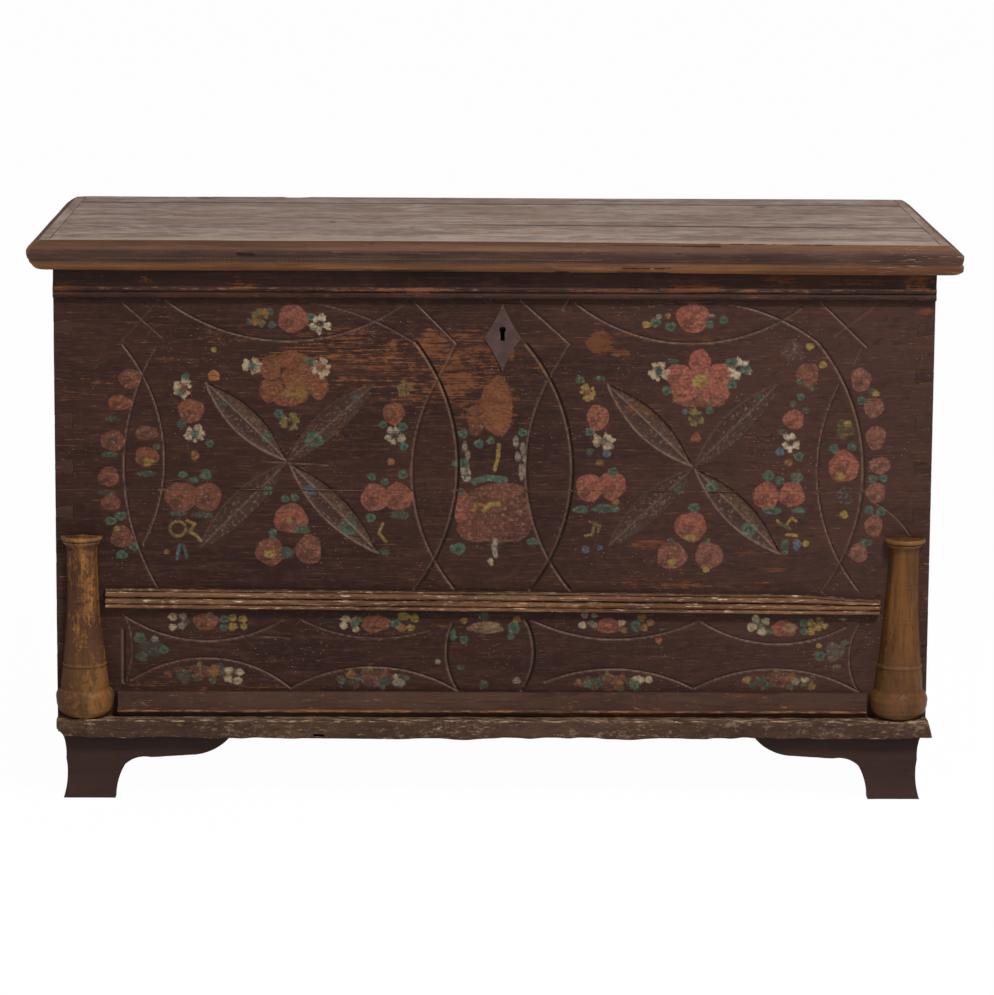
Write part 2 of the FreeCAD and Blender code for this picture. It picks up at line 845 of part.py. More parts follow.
# Lid boards, resting on the walls.
lid_depth = back_y - lid_front_y
lid_cuts = [as_size(0), S.lid_front_board, lid_depth - S.lid_back_board, lid_depth]
lid_boards = {}
for number, name in enumerate(("front", "middle", "back")):
    body = new_body("lid_board_" + name)
    plan = new_sketch(body, "XY_Plane")
    low = lid_cuts[number]
    high = lid_cuts[number + 1]
    draw(plan, rectangle(-lid_half_width, lid_half_width, 0, high - low))
    pad(body, plan, S.lid_thickness)
    place(body, 0, lid_front_y + low, top_z)
    lid_boards[name] = (body, lid_front_y + low, lid_front_y + high)

for body, low, high in lid_boards.values():
    rows = [y for y in strap_nail_rows if low.value < y.value < high.value]
    if not rows:
        continue
    holes = new_sketch(body, "XY_Plane")
    for side in (-1, 1):
        for y in rows:
            draw_square(holes, side * hinge_spacing / 2, y - low, nail_hole)
    pocket(body, holes, S.nail_bite, reverse=True)


# Lid rim: a bevel over an upright band, a quirk and a rounded foot, mitred at the front.
def rim_profile(outward):
    wide = outward * S.rim_thickness
    tall = rim_height
    return [
        (0, 0),
        (wide * 0.34, 0, 0.13),
        (wide * 0.78, tall * 0.22, 0.12),
        (wide * 0.9, tall * 0.4),
        (wide * 0.95, tall * 0.43),
        (wide, tall * 0.58),
        (wide, tall * 0.7, 0.1),
        (wide * 0.78, tall * 0.88, 0.05),
        (wide * 0.46, tall),
        (0, tall),
    ]


rim_half_length = lid_half_width + S.rim_thickness
body = new_body("lid_rim_front")
section = new_sketch(body, "YZ_Plane")
draw(section, rim_profile(-1))
pad(body, section, rim_half_length * 2, centred=True)
mitre = new_sketch(body, "XY_Plane")
for side in (-1, 1):
    draw(mitre, [
        (side * rim_half_length, -S.rim_thickness),
        (side * rim_half_length, 0),
        (side * lid_half_width, 0),
    ])
pocket(body, mitre, rim_height, reverse=True)
place(body, 0, lid_front_y, top_z - S.rim_drop)

rim_side_length = lid_depth + S.rim_thickness
for side, hand in ((-1, "left"), (1, "right")):
    body = new_body("lid_rim_" + hand)
    section = new_sketch(body, "XZ_Plane", -lid_depth)
    draw(section, rim_profile(side))
    pad(body, section, rim_side_length)
    mitre = new_sketch(body, "XY_Plane")
    draw(mitre, [
        (0, 0),
        (0, -S.rim_thickness),
        (side * S.rim_thickness, -S.rim_thickness),
    ])
    pocket(body, mitre, rim_height, reverse=True)
    place(body, side * lid_half_width, lid_front_y, top_z - S.rim_drop)

# Strap hinges. Local origin on the hinge axis.
strap_low = S.barrel_radius - S.strap_thickness
strap_root = S.barrel_radius + S.barrel_gap
for side, hand in ((-1, "left"), (1, "right")):
    hinge_x = side * hinge_spacing / 2
    body = new_body("hinge_strap_" + hand)
    plan = new_sketch(body, "XY_Plane", strap_low)
    draw(plan, [
        (S.knuckle_width / 2, 0),
        (S.knuckle_width / -2, 0),
        (S.knuckle_width / -2, -strap_root),
        (S.strap_width / -2, -strap_root),
        (S.strap_end_width / -2, -S.strap_length, 0.16),
        (0, -S.strap_length - S.strap_spear, 0.16),
        (S.strap_end_width / 2, -S.strap_length),
        (S.strap_width / 2, -strap_root),
        (S.knuckle_width / 2, -strap_root),
    ])
    pad(body, plan, S.strap_thickness)
    eye = new_sketch(body, "YZ_Plane")
    draw_circle(eye, 0, 0, S.barrel_radius)
    pad(body, eye, S.knuckle_width, centred=True)
    bore = new_sketch(body, "YZ_Plane")
    draw_circle(bore, 0, 0, S.pin_radius + S.pin_play)
    pocket(body, bore, S.knuckle_width * 2, centred=True)
    holes = new_sketch(body, "XY_Plane", strap_low)
    for y in strap_nail_rows:
        draw_square(holes, 0, y - axis_y, nail_hole)
    pocket(body, holes, S.strap_thickness, reverse=True)
    place(body, hinge_x, axis_y, axis_z)

    body = new_body("hinge_leaf_" + hand)
    plate = new_sketch(body, "XZ_Plane", strap_root)
    slot = S.knuckle_width / 2 + S.knuckle_gap
    slot_foot = -S.barrel_radius - S.barrel_gap * 2
    draw(plate, [
        (S.strap_width / -2, 0),
        (S.strap_width / -2, slot_foot * 1.5),
        (S.strap_end_width / -2, -S.leaf_length, 0.2),
        (S.strap_end_width / 2, -S.leaf_length),
        (S.strap_width / 2, slot_foot * 1.5),
        (S.strap_width / 2, 0),
        (slot, 0),
        (slot, slot_foot),
        (-slot, slot_foot),
        (-slot, 0),
    ])
    pad(body, plate, S.strap_thickness, reverse=True)
    for way in (-1, 1):
        eye = new_sketch(body, "YZ_Plane", way * (slot + S.strap_width / 2) / 2)
        draw_circle(eye, 0, 0, S.barrel_radius)
        pad(body, eye, S.strap_width / 2 - slot, centred=True)
    bore = new_sketch(body, "YZ_Plane")
    draw_circle(bore, 0, 0, S.pin_radius)
    pocket(body, bore, S.strap_width * 2, centred=True)
    holes = new_sketch(body, "XZ_Plane", strap_root)
    for z in leaf_nail_levels:
        draw_square(holes, 0, z - axis_z, nail_hole)
    pocket(body, holes, S.strap_thickness)
    place(body, hinge_x, axis_y, axis_z)

    body = new_body("hinge_pin_" + hand)
    half = new_sketch(body, "XZ_Plane")
    pin_half = S.strap_width / 2
    draw(half, [
        (0, -pin_half - S.pin_head),
        (S.pin_radius * 1.1, -pin_half - S.pin_head),
        (S.pin_radius * 1.6, -pin_half),
        (S.pin_radius, -pin_half),
        (S.pin_radius, pin_half),
        (S.pin_radius * 1.6, pin_half),
        (S.pin_radius * 1.1, pin_half + S.pin_head),
        (0, pin_half + S.pin_head),
    ])
    turn(body, half)
    body.Placement.Rotation = FreeCAD.Rotation(FreeCAD.Vector(0, 1, 0), 90)
    place(body, hinge_x, axis_y, axis_z)

# Chest lock, open at the back. Local origin at the keyhole, on the inner face of its plate.
body = new_body("lock_plate")
plate = new_sketch(body, "XZ_Plane", S.lock_thickness)
lock_side = S.lock_width / 2
lock_head = S.lock_height - S.lock_foot
draw(plate, [
    (-lock_side, S.lock_corner - S.lock_foot, 0.1),
    (S.lock_corner - lock_side, -S.lock_foot),
    (lock_side - S.lock_corner, -S.lock_foot, 0.1),
    (lock_side, S.lock_corner - S.lock_foot),
    (lock_side, lock_head),
    (-lock_side, lock_head),
])
pad(body, plate, S.lock_thickness, reverse=True)
hole = new_sketch(body, "XZ_Plane", S.lock_thickness)
keyhole(hole, as_size(0), as_size(0), S.key_play)
for x, z in lock_nail_places:
    draw_square(hole, x - S.key_offset, z - key_z, nail_hole)
pocket(body, hole, S.lock_thickness)
place(body, S.key_offset, lock_face_y, key_z)

body = new_body("lock_bolt")
bolt = new_sketch(body, "XZ_Plane", -S.bolt_rise)
arm = S.arm_width / 2
talon = S.talon_width / 2
bolt_low = S.bolt_level
bolt_high = S.bolt_level + S.bolt_height
draw(bolt, [
    (-S.bolt_left, bolt_low),
    (-arm, bolt_low),
    (-arm, S.arm_foot),
    (-talon, S.arm_foot),
    (-talon, S.arm_foot + S.talon_height, -0.3),
    (talon, S.arm_foot + S.talon_height),
    (talon, S.arm_foot),
    (arm, S.arm_foot),
    (arm, bolt_low),
    (S.bolt_right, bolt_low),
    (S.bolt_right, bolt_high),
    (-S.bolt_left, bolt_high),
])
pad(body, bolt, S.bolt_thickness, reverse=True)
place(body, S.key_offset, lock_face_y, key_z)

body = new_body("lock_guide_frame")
strip = new_sketch(body, "XZ_Plane")
guide_low = bolt_low - S.bolt_play - S.guide_wall
guide_high = bolt_high + S.bolt_play + S.guide_wall
draw(strip, rectangle(-S.guide_left, S.guide_right + S.guide_width, guide_low, guide_high))
pad(body, strip, S.guide_base, reverse=True)
loop = new_sketch(body, "YZ_Plane", -S.guide_left)
window_low = S.bolt_rise - S.bolt_play
window_high = S.bolt_rise + S.bolt_thickness + S.bolt_play
draw(loop, rectangle(0, window_high + S.guide_wall, guide_low, guide_high))
draw(loop, rectangle(window_low, window_high, bolt_low - S.bolt_play, bolt_high + S.bolt_play))
guide = pad(body, loop, S.guide_width)
repeat(body, [guide], (plane(body, "X_Axis"), [""]), S.guide_left + S.guide_right, 2)
place(body, S.key_offset, lock_face_y, key_z)

body = new_body("lock_key_bridge")
arch = new_sketch(body, "XY_Plane")
reach = S.bridge_length / 2
skin = S.bridge_thickness
rise = S.bridge_rise
draw(arch, [
    (-reach, 0),
    (skin - reach, 0),
    (skin - reach, rise),
    (reach - skin, rise),
    (reach - skin, 0),
    (reach, 0),
    (reach, rise, 0.2),
    (reach - skin, rise + skin),
    (skin - reach, rise + skin, 0.2),
    (-reach, rise),
])
pad(body, arch, S.bridge_width, centred=True)
post = new_sketch(body, "XZ_Plane", -S.bridge_rise - S.bridge_thickness / 2)
draw_circle(post, 0, 0, S.key_pin_radius)
pad(body, post, S.key_pin_reach)
place(body, S.key_offset, lock_face_y, key_z)

body = new_body("lock_spring")
post = new_sketch(body, "XZ_Plane")
spring_z = bolt_high + S.bolt_play
draw(post, rectangle(0, S.spring_post, S.spring_rise * 0.45, S.spring_rise))
pad(body, post, S.bolt_rise + S.bolt_thickness, reverse=True)
leaf = new_sketch(body, "XZ_Plane", -S.bolt_rise)
draw(leaf, [
    (S.spring_post, S.spring_rise - S.spring_thickness, 0.08),
    (S.spring_length * 0.62, 0, -0.1),
    (S.spring_length, S.spring_rise * 0.3),
    (S.spring_length, S.spring_rise * 0.3 + S.spring_thickness, 0.1),
    (S.spring_length * 0.62, S.spring_thickness, -0.08),
    (S.spring_post, S.spring_rise),
    (0, S.spring_rise),
    (0, S.spring_rise - S.spring_thickness),
])
pad(body, leaf, S.bolt_thickness, reverse=True)
place(body, S.key_offset - S.spring_length * 0.62, lock_face_y, key_z + spring_z)

# Staple under the lid that the bolt shoots through. Local origin under its plate.
body = new_body("lid_staple")
staple_z = top_z - S.staple_plate_thickness
plan = new_sketch(body, "XY_Plane")
draw(plan, rectangle(S.staple_plate_length / -2, S.staple_plate_length / 2,
                     S.staple_plate_width / -2, S.staple_plate_width / 2))
pad(body, plan, S.staple_plate_thickness)
loop = new_sketch(body, "YZ_Plane")
window = S.staple_window / 2
outer = window + S.staple_bar
draw(loop, [
    (-outer, 0),
    (-outer, outer - S.staple_depth, 0.2),
    (-window, -S.staple_depth),
    (window, -S.staple_depth, 0.2),
    (outer, outer - S.staple_depth),
    (outer, 0),
    (window, 0),
    (window, S.staple_bar - S.staple_depth),
    (-window, S.staple_bar - S.staple_depth),
    (-window, 0),
])
pad(body, loop, S.staple_width, centred=True)
staple_nail_x = S.staple_plate_length / 2 - S.nail_head_half * 1.3
holes = new_sketch(body, "XY_Plane")
for side in (-1, 1):
    draw_square(holes, side * staple_nail_x, 0, nail_hole)
pocket(body, holes, S.staple_plate_thickness, reverse=True)
staple_x = S.key_offset + S.staple_offset
staple_y = lock_face_y + S.staple_set_back
place(body, staple_x, staple_y, staple_z)

front_lid_board, low, high = lid_boards["front"]
holes = new_sketch(front_lid_board, "XY_Plane")
for side in (-1, 1):
    draw_square(holes, staple_x + side * staple_nail_x, staple_y - low, nail_hole)
pocket(front_lid_board, holes, S.nail_bite, reverse=True)

# Till: a wall and a floor housed in the front and back boards, and a lid on its own pivots.
housed_length = S.body_depth - S.board_thickness * 2 + S.till_housing * 2
body = new_body("till_wall")
section = new_sketch(body, "XZ_Plane")
draw(section, rectangle(0, S.till_board, 0, S.till_board + S.till_depth))
pad(body, section, housed_length, centred=True)
place(body, till_wall_x, middle_y, till_floor_z)
body = new_body("till_floor")
section = new_sketch(body, "XZ_Plane")
draw(section, rectangle(0, S.till_width, 0, S.till_board))
pad(body, section, housed_length, centred=True)
place(body, -inside_x, middle_y, till_floor_z)
body = new_body("till_lid")
section = new_sketch(body, "XZ_Plane")
half_lid = S.till_lid_thickness / 2
draw(section, [
    (0, -half_lid),
    (till_lid_span, -half_lid, 0.35),
    (till_lid_span, half_lid),
    (0, half_lid, 0.45),
])
pad(body, section, S.body_depth - S.board_thickness * 2 - S.till_play * 2, centred=True)
pivot = new_sketch(body, "XZ_Plane")
draw_circle(pivot, 0, 0, S.till_pivot_radius)
pad(body, pivot, S.body_depth - S.board_thickness * 2 + S.till_housing * 2 - S.till_play * 2,
    centred=True)
place(body, till_axis_x, middle_y, till_axis_z)

# Nails, each node one kind on one piece.
forged = nail(S.nail_half, S.nail_bite + S.strap_thickness, S.nail_head_half,
              S.nail_head_height)
places = []
for side in (-1, 1):
    for y in strap_nail_rows:
        places.append((side * hinge_spacing / 2, y, top_z - S.strap_thickness))
nail_group("hinge_strap_nails", forged, places, UP)
places = []
for side in (-1, 1):
    for z in leaf_nail_levels:
        places.append((side * hinge_spacing / 2, back_y + S.strap_thickness, z))
nail_group("hinge_leaf_nails", forged, places, FORWARD)
forged = nail(S.nail_half, S.nail_bite + S.lock_thickness, S.nail_head_half,
              S.nail_head_height)
nail_group("lock_nails", forged, [(x, lock_face_y, z) for x, z in lock_nail_places], FORWARD)
forged = nail(S.nail_half, S.nail_bite + S.staple_plate_thickness, S.nail_head_half,
              S.nail_head_height)
nail_group("staple_nails", forged,
           [(staple_x + side * staple_nail_x, staple_y, staple_z) for side in (-1, 1)], UP)
forged = nail(S.nail_half, S.floor_thickness + S.floor_nail_bite, S.nail_head_half,
              S.nail_head_height)
nail_group("floor_nails", forged, [(x, y, S.foot_height) for x, y in floor_nail_places], UP)
brad = nail(S.brad_half, S.brad_bite + S.escutcheon_thickness, S.brad_head_half,
            S.brad_head_height)
brad_y = front_y - S.escutcheon_thickness
nail_group("escutcheon_brads", brad, [(x, brad_y, z) for x, z in brad_places], BACKWARD)

doc.recompute()

# Nothing may have failed, and every cut must have taken something away.
for item in doc.Objects:
    if "Invalid" in item.State or "Error" in item.State:
        raise RuntimeError(item.Label + " failed: " + " ".join(item.State))
for body, step in cuts:
    before = step.BaseFeature.Shape.Volume
    if not step.Shape.Volume < before:
        raise RuntimeError(step.Label + " of " + body.Label + " cuts nothing")
names = set()
for item in parts:
    if item.Label in names:
        raise RuntimeError(item.Label + " is used twice")
    names.add(item.Label)
    if item.Shape.isNull() or not item.Shape.isValid():
        raise RuntimeError(item.Label + " has no valid shape")

os.makedirs("parts", exist_ok=True)
for item in parts:
    item.Shape.exportStep(os.path.join("parts", item.Label + ".step"))
print(len(parts), "pieces written")
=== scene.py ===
"""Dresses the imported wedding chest: worn timber surfaces, carved and painted front, studio."""

import math

import bpy
import numpy as np
from mathutils import Matrix, Vector
from mathutils.geometry import delaunay_2d_cdt


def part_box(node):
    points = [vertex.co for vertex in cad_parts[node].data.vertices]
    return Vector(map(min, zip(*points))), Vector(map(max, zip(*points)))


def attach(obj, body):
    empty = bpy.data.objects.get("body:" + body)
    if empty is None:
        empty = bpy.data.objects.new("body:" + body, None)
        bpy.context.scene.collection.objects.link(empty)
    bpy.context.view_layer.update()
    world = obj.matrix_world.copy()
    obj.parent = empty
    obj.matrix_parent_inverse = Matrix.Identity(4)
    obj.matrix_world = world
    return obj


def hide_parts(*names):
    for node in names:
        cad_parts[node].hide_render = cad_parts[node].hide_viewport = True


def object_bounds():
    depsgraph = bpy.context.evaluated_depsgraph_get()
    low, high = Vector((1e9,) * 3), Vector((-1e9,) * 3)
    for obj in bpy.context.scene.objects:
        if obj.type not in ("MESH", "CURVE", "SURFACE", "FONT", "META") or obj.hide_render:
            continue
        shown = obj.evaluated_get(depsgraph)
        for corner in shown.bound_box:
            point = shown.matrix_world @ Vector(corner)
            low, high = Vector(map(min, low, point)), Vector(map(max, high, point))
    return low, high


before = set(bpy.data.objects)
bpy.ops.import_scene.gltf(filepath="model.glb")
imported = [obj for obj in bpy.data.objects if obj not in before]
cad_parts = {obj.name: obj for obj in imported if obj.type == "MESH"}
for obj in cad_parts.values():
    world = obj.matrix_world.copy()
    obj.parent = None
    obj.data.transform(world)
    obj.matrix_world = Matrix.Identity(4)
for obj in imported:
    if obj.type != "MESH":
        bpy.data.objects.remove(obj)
cad_low, cad_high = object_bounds()

MM = 0.001
FRONT_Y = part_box("front_board_upper")[0].y
SEAM_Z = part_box("front_board_upper")[0].z
# Faces that meet at a wider angle than this share an arris
ARRIS_COSINE = 0.9
SHARP_BOARD, SHARP_TURNING = math.radians(32), math.radians(50)
# A triangle lower than this is a needle, in the CAD mesh and in the filled faces
HAIRLINE, NEEDLE = 0.002 * MM, 0.05 * MM
FLIP_ROUNDS = 40
# Steps to a metre in which the CAD mesh's corners are merged
WELD_STEPS = 1e5
# Steps in which planes are told apart, by their normal and by their distance. The odd shares keep
# values that are alike off a rounding step
NORMAL_STEPS, NORMAL_SHARE = 500, 0.1234
PLANE_STEPS, PLANE_SHARE = 2e4, 0.377
# How far a grid point or a drawn line stays from a border, in cells, and the least distance from it
# of the row beside an arris, in widths of the arris, and of the grid behind that row
GRID_MARGIN, LINE_MARGIN = 0.45, 0.7
ROW_MARGIN, BEHIND_ROW = 0.85, 1.6

# The camera, solved from the photograph's own lines

PHOTO_SIDE = 995
FOCAL_PIXELS = 4258.39
SENSOR = 36
EYE = Vector((-0.10958, -5.9121, 1.39126))
YAW, PITCH, ROLL = -0.0201, 0.1714, 0.0067
PHOTO_CENTRE = (497.2, 497.8)

level_right = Vector((math.cos(YAW), math.sin(YAW), 0))
level_forward = Vector((-math.sin(YAW), math.cos(YAW), 0))
look = level_forward * math.cos(PITCH) - Vector((0, 0, math.sin(PITCH)))
tilted_up = level_forward * math.sin(PITCH) + Vector((0, 0, math.cos(PITCH)))
camera_right = level_right * math.cos(ROLL) + tilted_up * math.sin(ROLL)
camera_up = tilted_up * math.cos(ROLL) - level_right * math.sin(ROLL)

camera_data = bpy.data.cameras.new("camera")
camera_data.sensor_width = SENSOR
camera_data.lens = FOCAL_PIXELS / PHOTO_SIDE * SENSOR
camera_data.clip_end = 200
camera = bpy.data.objects.new("camera", camera_data)
bpy.context.scene.collection.objects.link(camera)
turn = Matrix((camera_right, camera_up, -look)).transposed().to_4x4()
camera.matrix_world = Matrix.Translation(EYE) @ turn
bpy.context.scene.camera = camera


def view(px, py):
    """The way from the camera through a pixel of the photograph."""
    right = (px - PHOTO_CENTRE[0]) / FOCAL_PIXELS
    up = -(py - PHOTO_CENTRE[1]) / FOCAL_PIXELS
    return look + camera_right * right + camera_up * up


def on_front(px, py):
    """The (x, z) of a photograph pixel on the upright plane of the front."""
    ray = view(px, py)
    point = EYE + ray * ((FRONT_Y - EYE.y) / ray.y)
    return point.x, point.z


# The width on the front of one pixel of the photograph
PIXEL = on_front(600, 465)[0] / 100 - on_front(500, 465)[0] / 100


# Noise on points

def lattice(cells, seed):
    """A repeatable random share for every lattice cell."""
    mixed = cells[..., 0] * 374761393 + cells[..., 1] * 668265263 + cells[..., 2] * 2147483647
    mixed = (mixed + seed * 1274126177) & 0xFFFFFFFF
    mixed = ((mixed ^ (mixed >> 13)) * 1103515245) & 0xFFFFFFFF
    return ((mixed ^ (mixed >> 16)) & 0xFFFF) / 65535


def ripple(points, scale, seed):
    """Smooth noise from -1 to 1, with lattice cells of the given sizes."""
    spots = np.asarray(points, float) / np.asarray(scale, float)
    cell = np.floor(spots).astype(np.int64)
    part = spots - cell
    part = part * part * (3 - 2 * part)
    total = 0
    for corner in range(8):
        step = np.array([corner & 1, corner >> 1 & 1, corner >> 2 & 1])
        weight = np.prod(np.where(step, part, 1 - part), axis=-1)
        total = total + weight * lattice(cell + step, seed)
    return total * 2 - 1


def smooth(share):
    """Eases a share in and out, from 0 to 1."""
    share = np.clip(share, 0, 1)
    return share * share * (3 - 2 * share)


def past(values, start, length):
    """0 up to start and 1 a length beyond it, both in millimetres, and smooth between."""
    return smooth((values - start * MM) / (length * MM))


# A CAD node as a fine mesh: flat faces filled with points, arrises eased

class Skin:
    """The welded surface of a node, cut into small triangles that keep its outline."""

    def __init__(self, node, cell, ease, fine=None, lines=(), slide=None):
        self.node = node
        self.cell, self.ease = cell, ease
        self.fine, self.lines = fine, lines
        corners, triangles = self.weld(node)
        if slide is not None:
            corners = slide(corners)
        self.points = [Vector(p) for p in corners]
        self.triangles, self.normals = [], []
        self.groups = self.gather(corners, triangles)
        self.chains, self.arris = {}, {}
        self.split_edges(corners)
        for key in sorted(self.groups):
            self.fill(self.groups[key])
        self.finish()

    @staticmethod
    def weld(node):
        """The node's corners, merged where they meet, and its triangles."""
        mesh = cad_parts[node].data
        mesh.calc_loop_triangles()
        corners = np.array([v.co for v in mesh.vertices])
        triangles = np.array([t.vertices for t in mesh.loop_triangles])
        keys = np.round(corners * WELD_STEPS).astype(int)
        _, first, back = np.unique(keys, axis=0, return_index=True, return_inverse=True)
        corners, triangles = corners[first], back.reshape(-1)[triangles]
        a, b, c = triangles.T
        real = (a != b) & (b != c) & (c != a)
        return corners, Skin.flip_needles(triangles[real], corners, HAIRLINE)

    def gather(self, corners, triangles):
        """The triangles by the plane that they lie in."""
        a, b, c = (corners[triangles[:, i]] for i in range(3))
        normal = np.cross(b - a, c - a)
        size = np.linalg.norm(normal, axis=1)
        keep = size > 1e-12
        triangles, normal = triangles[keep], normal[keep] / size[keep, None]
        offset = np.einsum("ij,ij->i", normal, a[keep])
        groups = {}
        for triangle, n, d in zip(triangles, normal, offset):
            key = (*(int(round(v * NORMAL_STEPS + NORMAL_SHARE)) for v in n),
                   int(round(d * PLANE_STEPS + PLANE_SHARE)))
            group = groups.setdefault(key, {"normal": n, "triangles": []})
            group["triangles"].append(triangle)
        return groups

    def split_edges(self, corners):
        """Cuts the edges between planes into steps, and marks the arrises and inner corners."""
        sides = {}
        for key, group in self.groups.items():
            for triangle in group["triangles"]:
                for i in range(3):
                    a, b = int(triangle[i]), int(triangle[(i + 1) % 3])
                    sides.setdefault((min(a, b), max(a, b)), []).append(
                        (key, int(triangle[(i + 2) % 3])))
        for (a, b), found in sorted(sides.items()):
            keys = {key for key, _ in found}
            if len(found) == 2 and len(keys) == 1:
                continue
            sharp = 0
            if len(found) == 2:
                one, two = (self.groups[key]["normal"] for key, _ in found)
                beyond = corners[found[1][1]] - corners[a]
                if one @ two < ARRIS_COSINE:
                    sharp = 1 if one @ beyond < 0 else -1
            start, end = self.points[a], self.points[b]
            pieces = max(1, math.ceil((end - start).length / self.cell))
            chain = [a]
            for i in range(1, pieces):
                self.points.append(start.lerp(end, i / pieces))
                chain.append(len(self.points) - 1)
            chain.append(b)
            for point in chain:
                mark = self.arris.get(point, 0)
                self.arris[point] = sharp if sharp and (mark == 0 or sharp < 0) else mark
            self.chains[a, b] = chain
            for key in keys:
                self.groups[key].setdefault("border", []).append((a, b, sharp))

    def fill(self, group):
        """Fills one plane with points and triangles inside its border."""
        n = Vector(group["normal"])
        u = n.orthogonal().normalized() if abs(n.z) > 0.99 else Vector((0, 0, 1)).cross(n)
        u.normalize()
        v = n.cross(u)
        basis = np.array([u, v])
        ends = [(a, b) for a, b, _ in group["border"]]
        start = np.array([self.points[a] for a, _ in ends]) @ basis.T
        end = np.array([self.points[b] for _, b in ends]) @ basis.T
        depth = self.points[ends[0][0]].dot(n)
        flat, ids, edges = [], [], []
        place = {}
        for a, b, _ in group["border"]:
            chain = self.chains[a, b]
            for point in chain:
                if point not in place:
                    place[point] = len(flat)
                    ids.append(point)
                    flat.append(Vector((self.points[point].dot(u), self.points[point].dot(v))))
            edges += [(place[p], place[q]) for p, q in zip(chain, chain[1:])]
        inner = self.inner_points(group, start, end, place, flat)
        if self.is_fine(group):
            for line in self.lines:
                spots = np.array([[x, FRONT_Y, z] for x, z in line]) @ basis.T
                good = self.inside(spots, start, end) & (
                    self.distance(spots, start, end) > self.fine["cell"] * LINE_MARGIN)
                for i, spot in enumerate(spots):
                    if good[i]:
                        inner.append(Vector(spot))
                        if i and good[i - 1]:
                            last = len(flat) + len(inner) - 1
                            edges.append((last - 1, last))
        result = delaunay_2d_cdt(flat + inner, edges, [], 0, 1e-7, True)
        spots, faces, origins = result[0], result[2], result[3]
        numbers = []
        for spot, origin in zip(spots, origins):
            known = [ids[o] for o in origin if o < len(ids)]
            if known:
                numbers.append(known[0])
            else:
                self.points.append(u * spot.x + v * spot.y + n * depth)
                numbers.append(len(self.points) - 1)
        faces = np.array([f for f in faces if len(f) == 3], int).reshape(-1, 3)
        flat_spots = np.array([[s.x, s.y] for s in spots])
        numbers = np.array(numbers)
        border = {(min(p, q), max(p, q)) for a, b, _ in group["border"]
                  for p, q in zip(self.chains[a, b], self.chains[a, b][1:])}
        faces = self.flip_needles(
            faces, flat_spots, NEEDLE,
            lambda p, q: tuple(sorted((numbers[p], numbers[q]))) in border)
        middles = flat_spots[faces].mean(axis=1)
        faces = faces[self.inside(middles, start, end)]
        self.triangles.append(numbers[faces])
        self.normals.append(np.tile(group["normal"], (len(faces), 1)))

    @staticmethod
    def flip_needles(faces, spots, thin, kept=lambda p, q: False):
        """Turns the long side of each needle-thin triangle, which would shade as noise."""
        for _ in range(FLIP_ROUNDS):
            a, b, c = (spots[faces[:, i]] for i in range(3))
            sides = np.linalg.norm([c - b, a - c, b - a], axis=2).T
            dots = np.einsum("ij,ij->i", b - a, c - a)
            area = np.sqrt(np.maximum((sides[:, 1] * sides[:, 2]) ** 2 - dots ** 2, 0))
            needles = np.where(area < thin * sides.max(axis=1))[0]
            if not len(needles):
                break
            touching = np.isin(faces, faces[needles]).sum(axis=1) >= 2
            owners = {}
            for face in np.where(touching)[0]:
                for i in range(3):
                    p, q = faces[face][i], faces[face][(i + 1) % 3]
                    owners.setdefault((min(p, q), max(p, q)), []).append(face)
            turned, gone = set(), []
            for face in needles:
                i = sides[face].argmax()
                r, p, q = (faces[face][(i + k) % 3] for k in range(3))
                if face in turned or kept(p, q):
                    continue
                others = [f for f in owners[min(p, q), max(p, q)] if f != face]
                if not others:
                    gone.append(face)
                    turned.add(face)
                elif others[0] not in turned:
                    s = next(v for v in faces[others[0]] if v not in (p, q))
                    faces[face], faces[others[0]] = (r, p, s), (r, s, q)
                    turned |= {face, others[0]}
            if not turned:
                break
            faces = np.delete(faces, gone, axis=0)
        return faces

    def is_fine(self, group):
        """Whether a plane takes the finer grid and the drawn lines."""
        return self.fine is not None and self.fine["pick"](group["normal"])

    def inner_points(self, group, start, end, place, flat):
        """Points inside a plane's border: a grid, and a row beside each arris."""
        cell = self.fine["cell"] if self.is_fine(group) else self.cell
        low, high = start.min(axis=0), start.max(axis=0)
        counts = np.maximum(1, np.ceil((high - low) / cell)).astype(int)
        across = [low[i] + (high[i] - low[i]) * np.arange(1, counts[i]) / counts[i]
                  for i in range(2)]
        spots = np.array([[x, y] for x in across[0] for y in across[1]]).reshape(-1, 2)
        margin = cell * GRID_MARGIN
        inset = []
        for a, b, sharp in group["border"]:
            if sharp != 1 or not self.ease:
                continue
            chain = [np.array(flat[place[p]]) for p in self.chains[a, b]]
            along = chain[-1] - chain[0]
            side = np.array([-along[1], along[0]]) / max(np.linalg.norm(along), 1e-9)
            middle = (chain[0] + chain[-1]) / 2
            probe = np.array([middle + side * self.ease * 0.3])
            if not self.inside(probe, start, end)[0]:
                side = -side
            inset += [p + side * self.ease for p in chain]
        found = []
        if inset:
            inset = np.array(inset)
            good = self.inside(inset, start, end) & (
                self.distance(inset, start, end) > self.ease * ROW_MARGIN)
            found.append(inset[good])
            margin = max(margin, self.ease * BEHIND_ROW)
        if len(spots):
            good = self.inside(spots, start, end)
            spots = spots[good]
            spots = spots[self.distance(spots, start, end) > margin]
            found.append(spots)
        return [Vector(p) for block in found for p in block]

    @staticmethod
    def inside(spots, start, end):
        """Whether each spot lies inside the outline whose sides run from start to end."""
        odd = np.zeros(len(spots), bool)
        x, y = spots[:, 0], spots[:, 1]
        for (ax, ay), (bx, by) in zip(start, end):
            crosses = (ay > y) != (by > y)
            rise = by - ay if by != ay else 1e-12
            odd ^= crosses & (x < ax + (y - ay) * (bx - ax) / rise)
        return odd

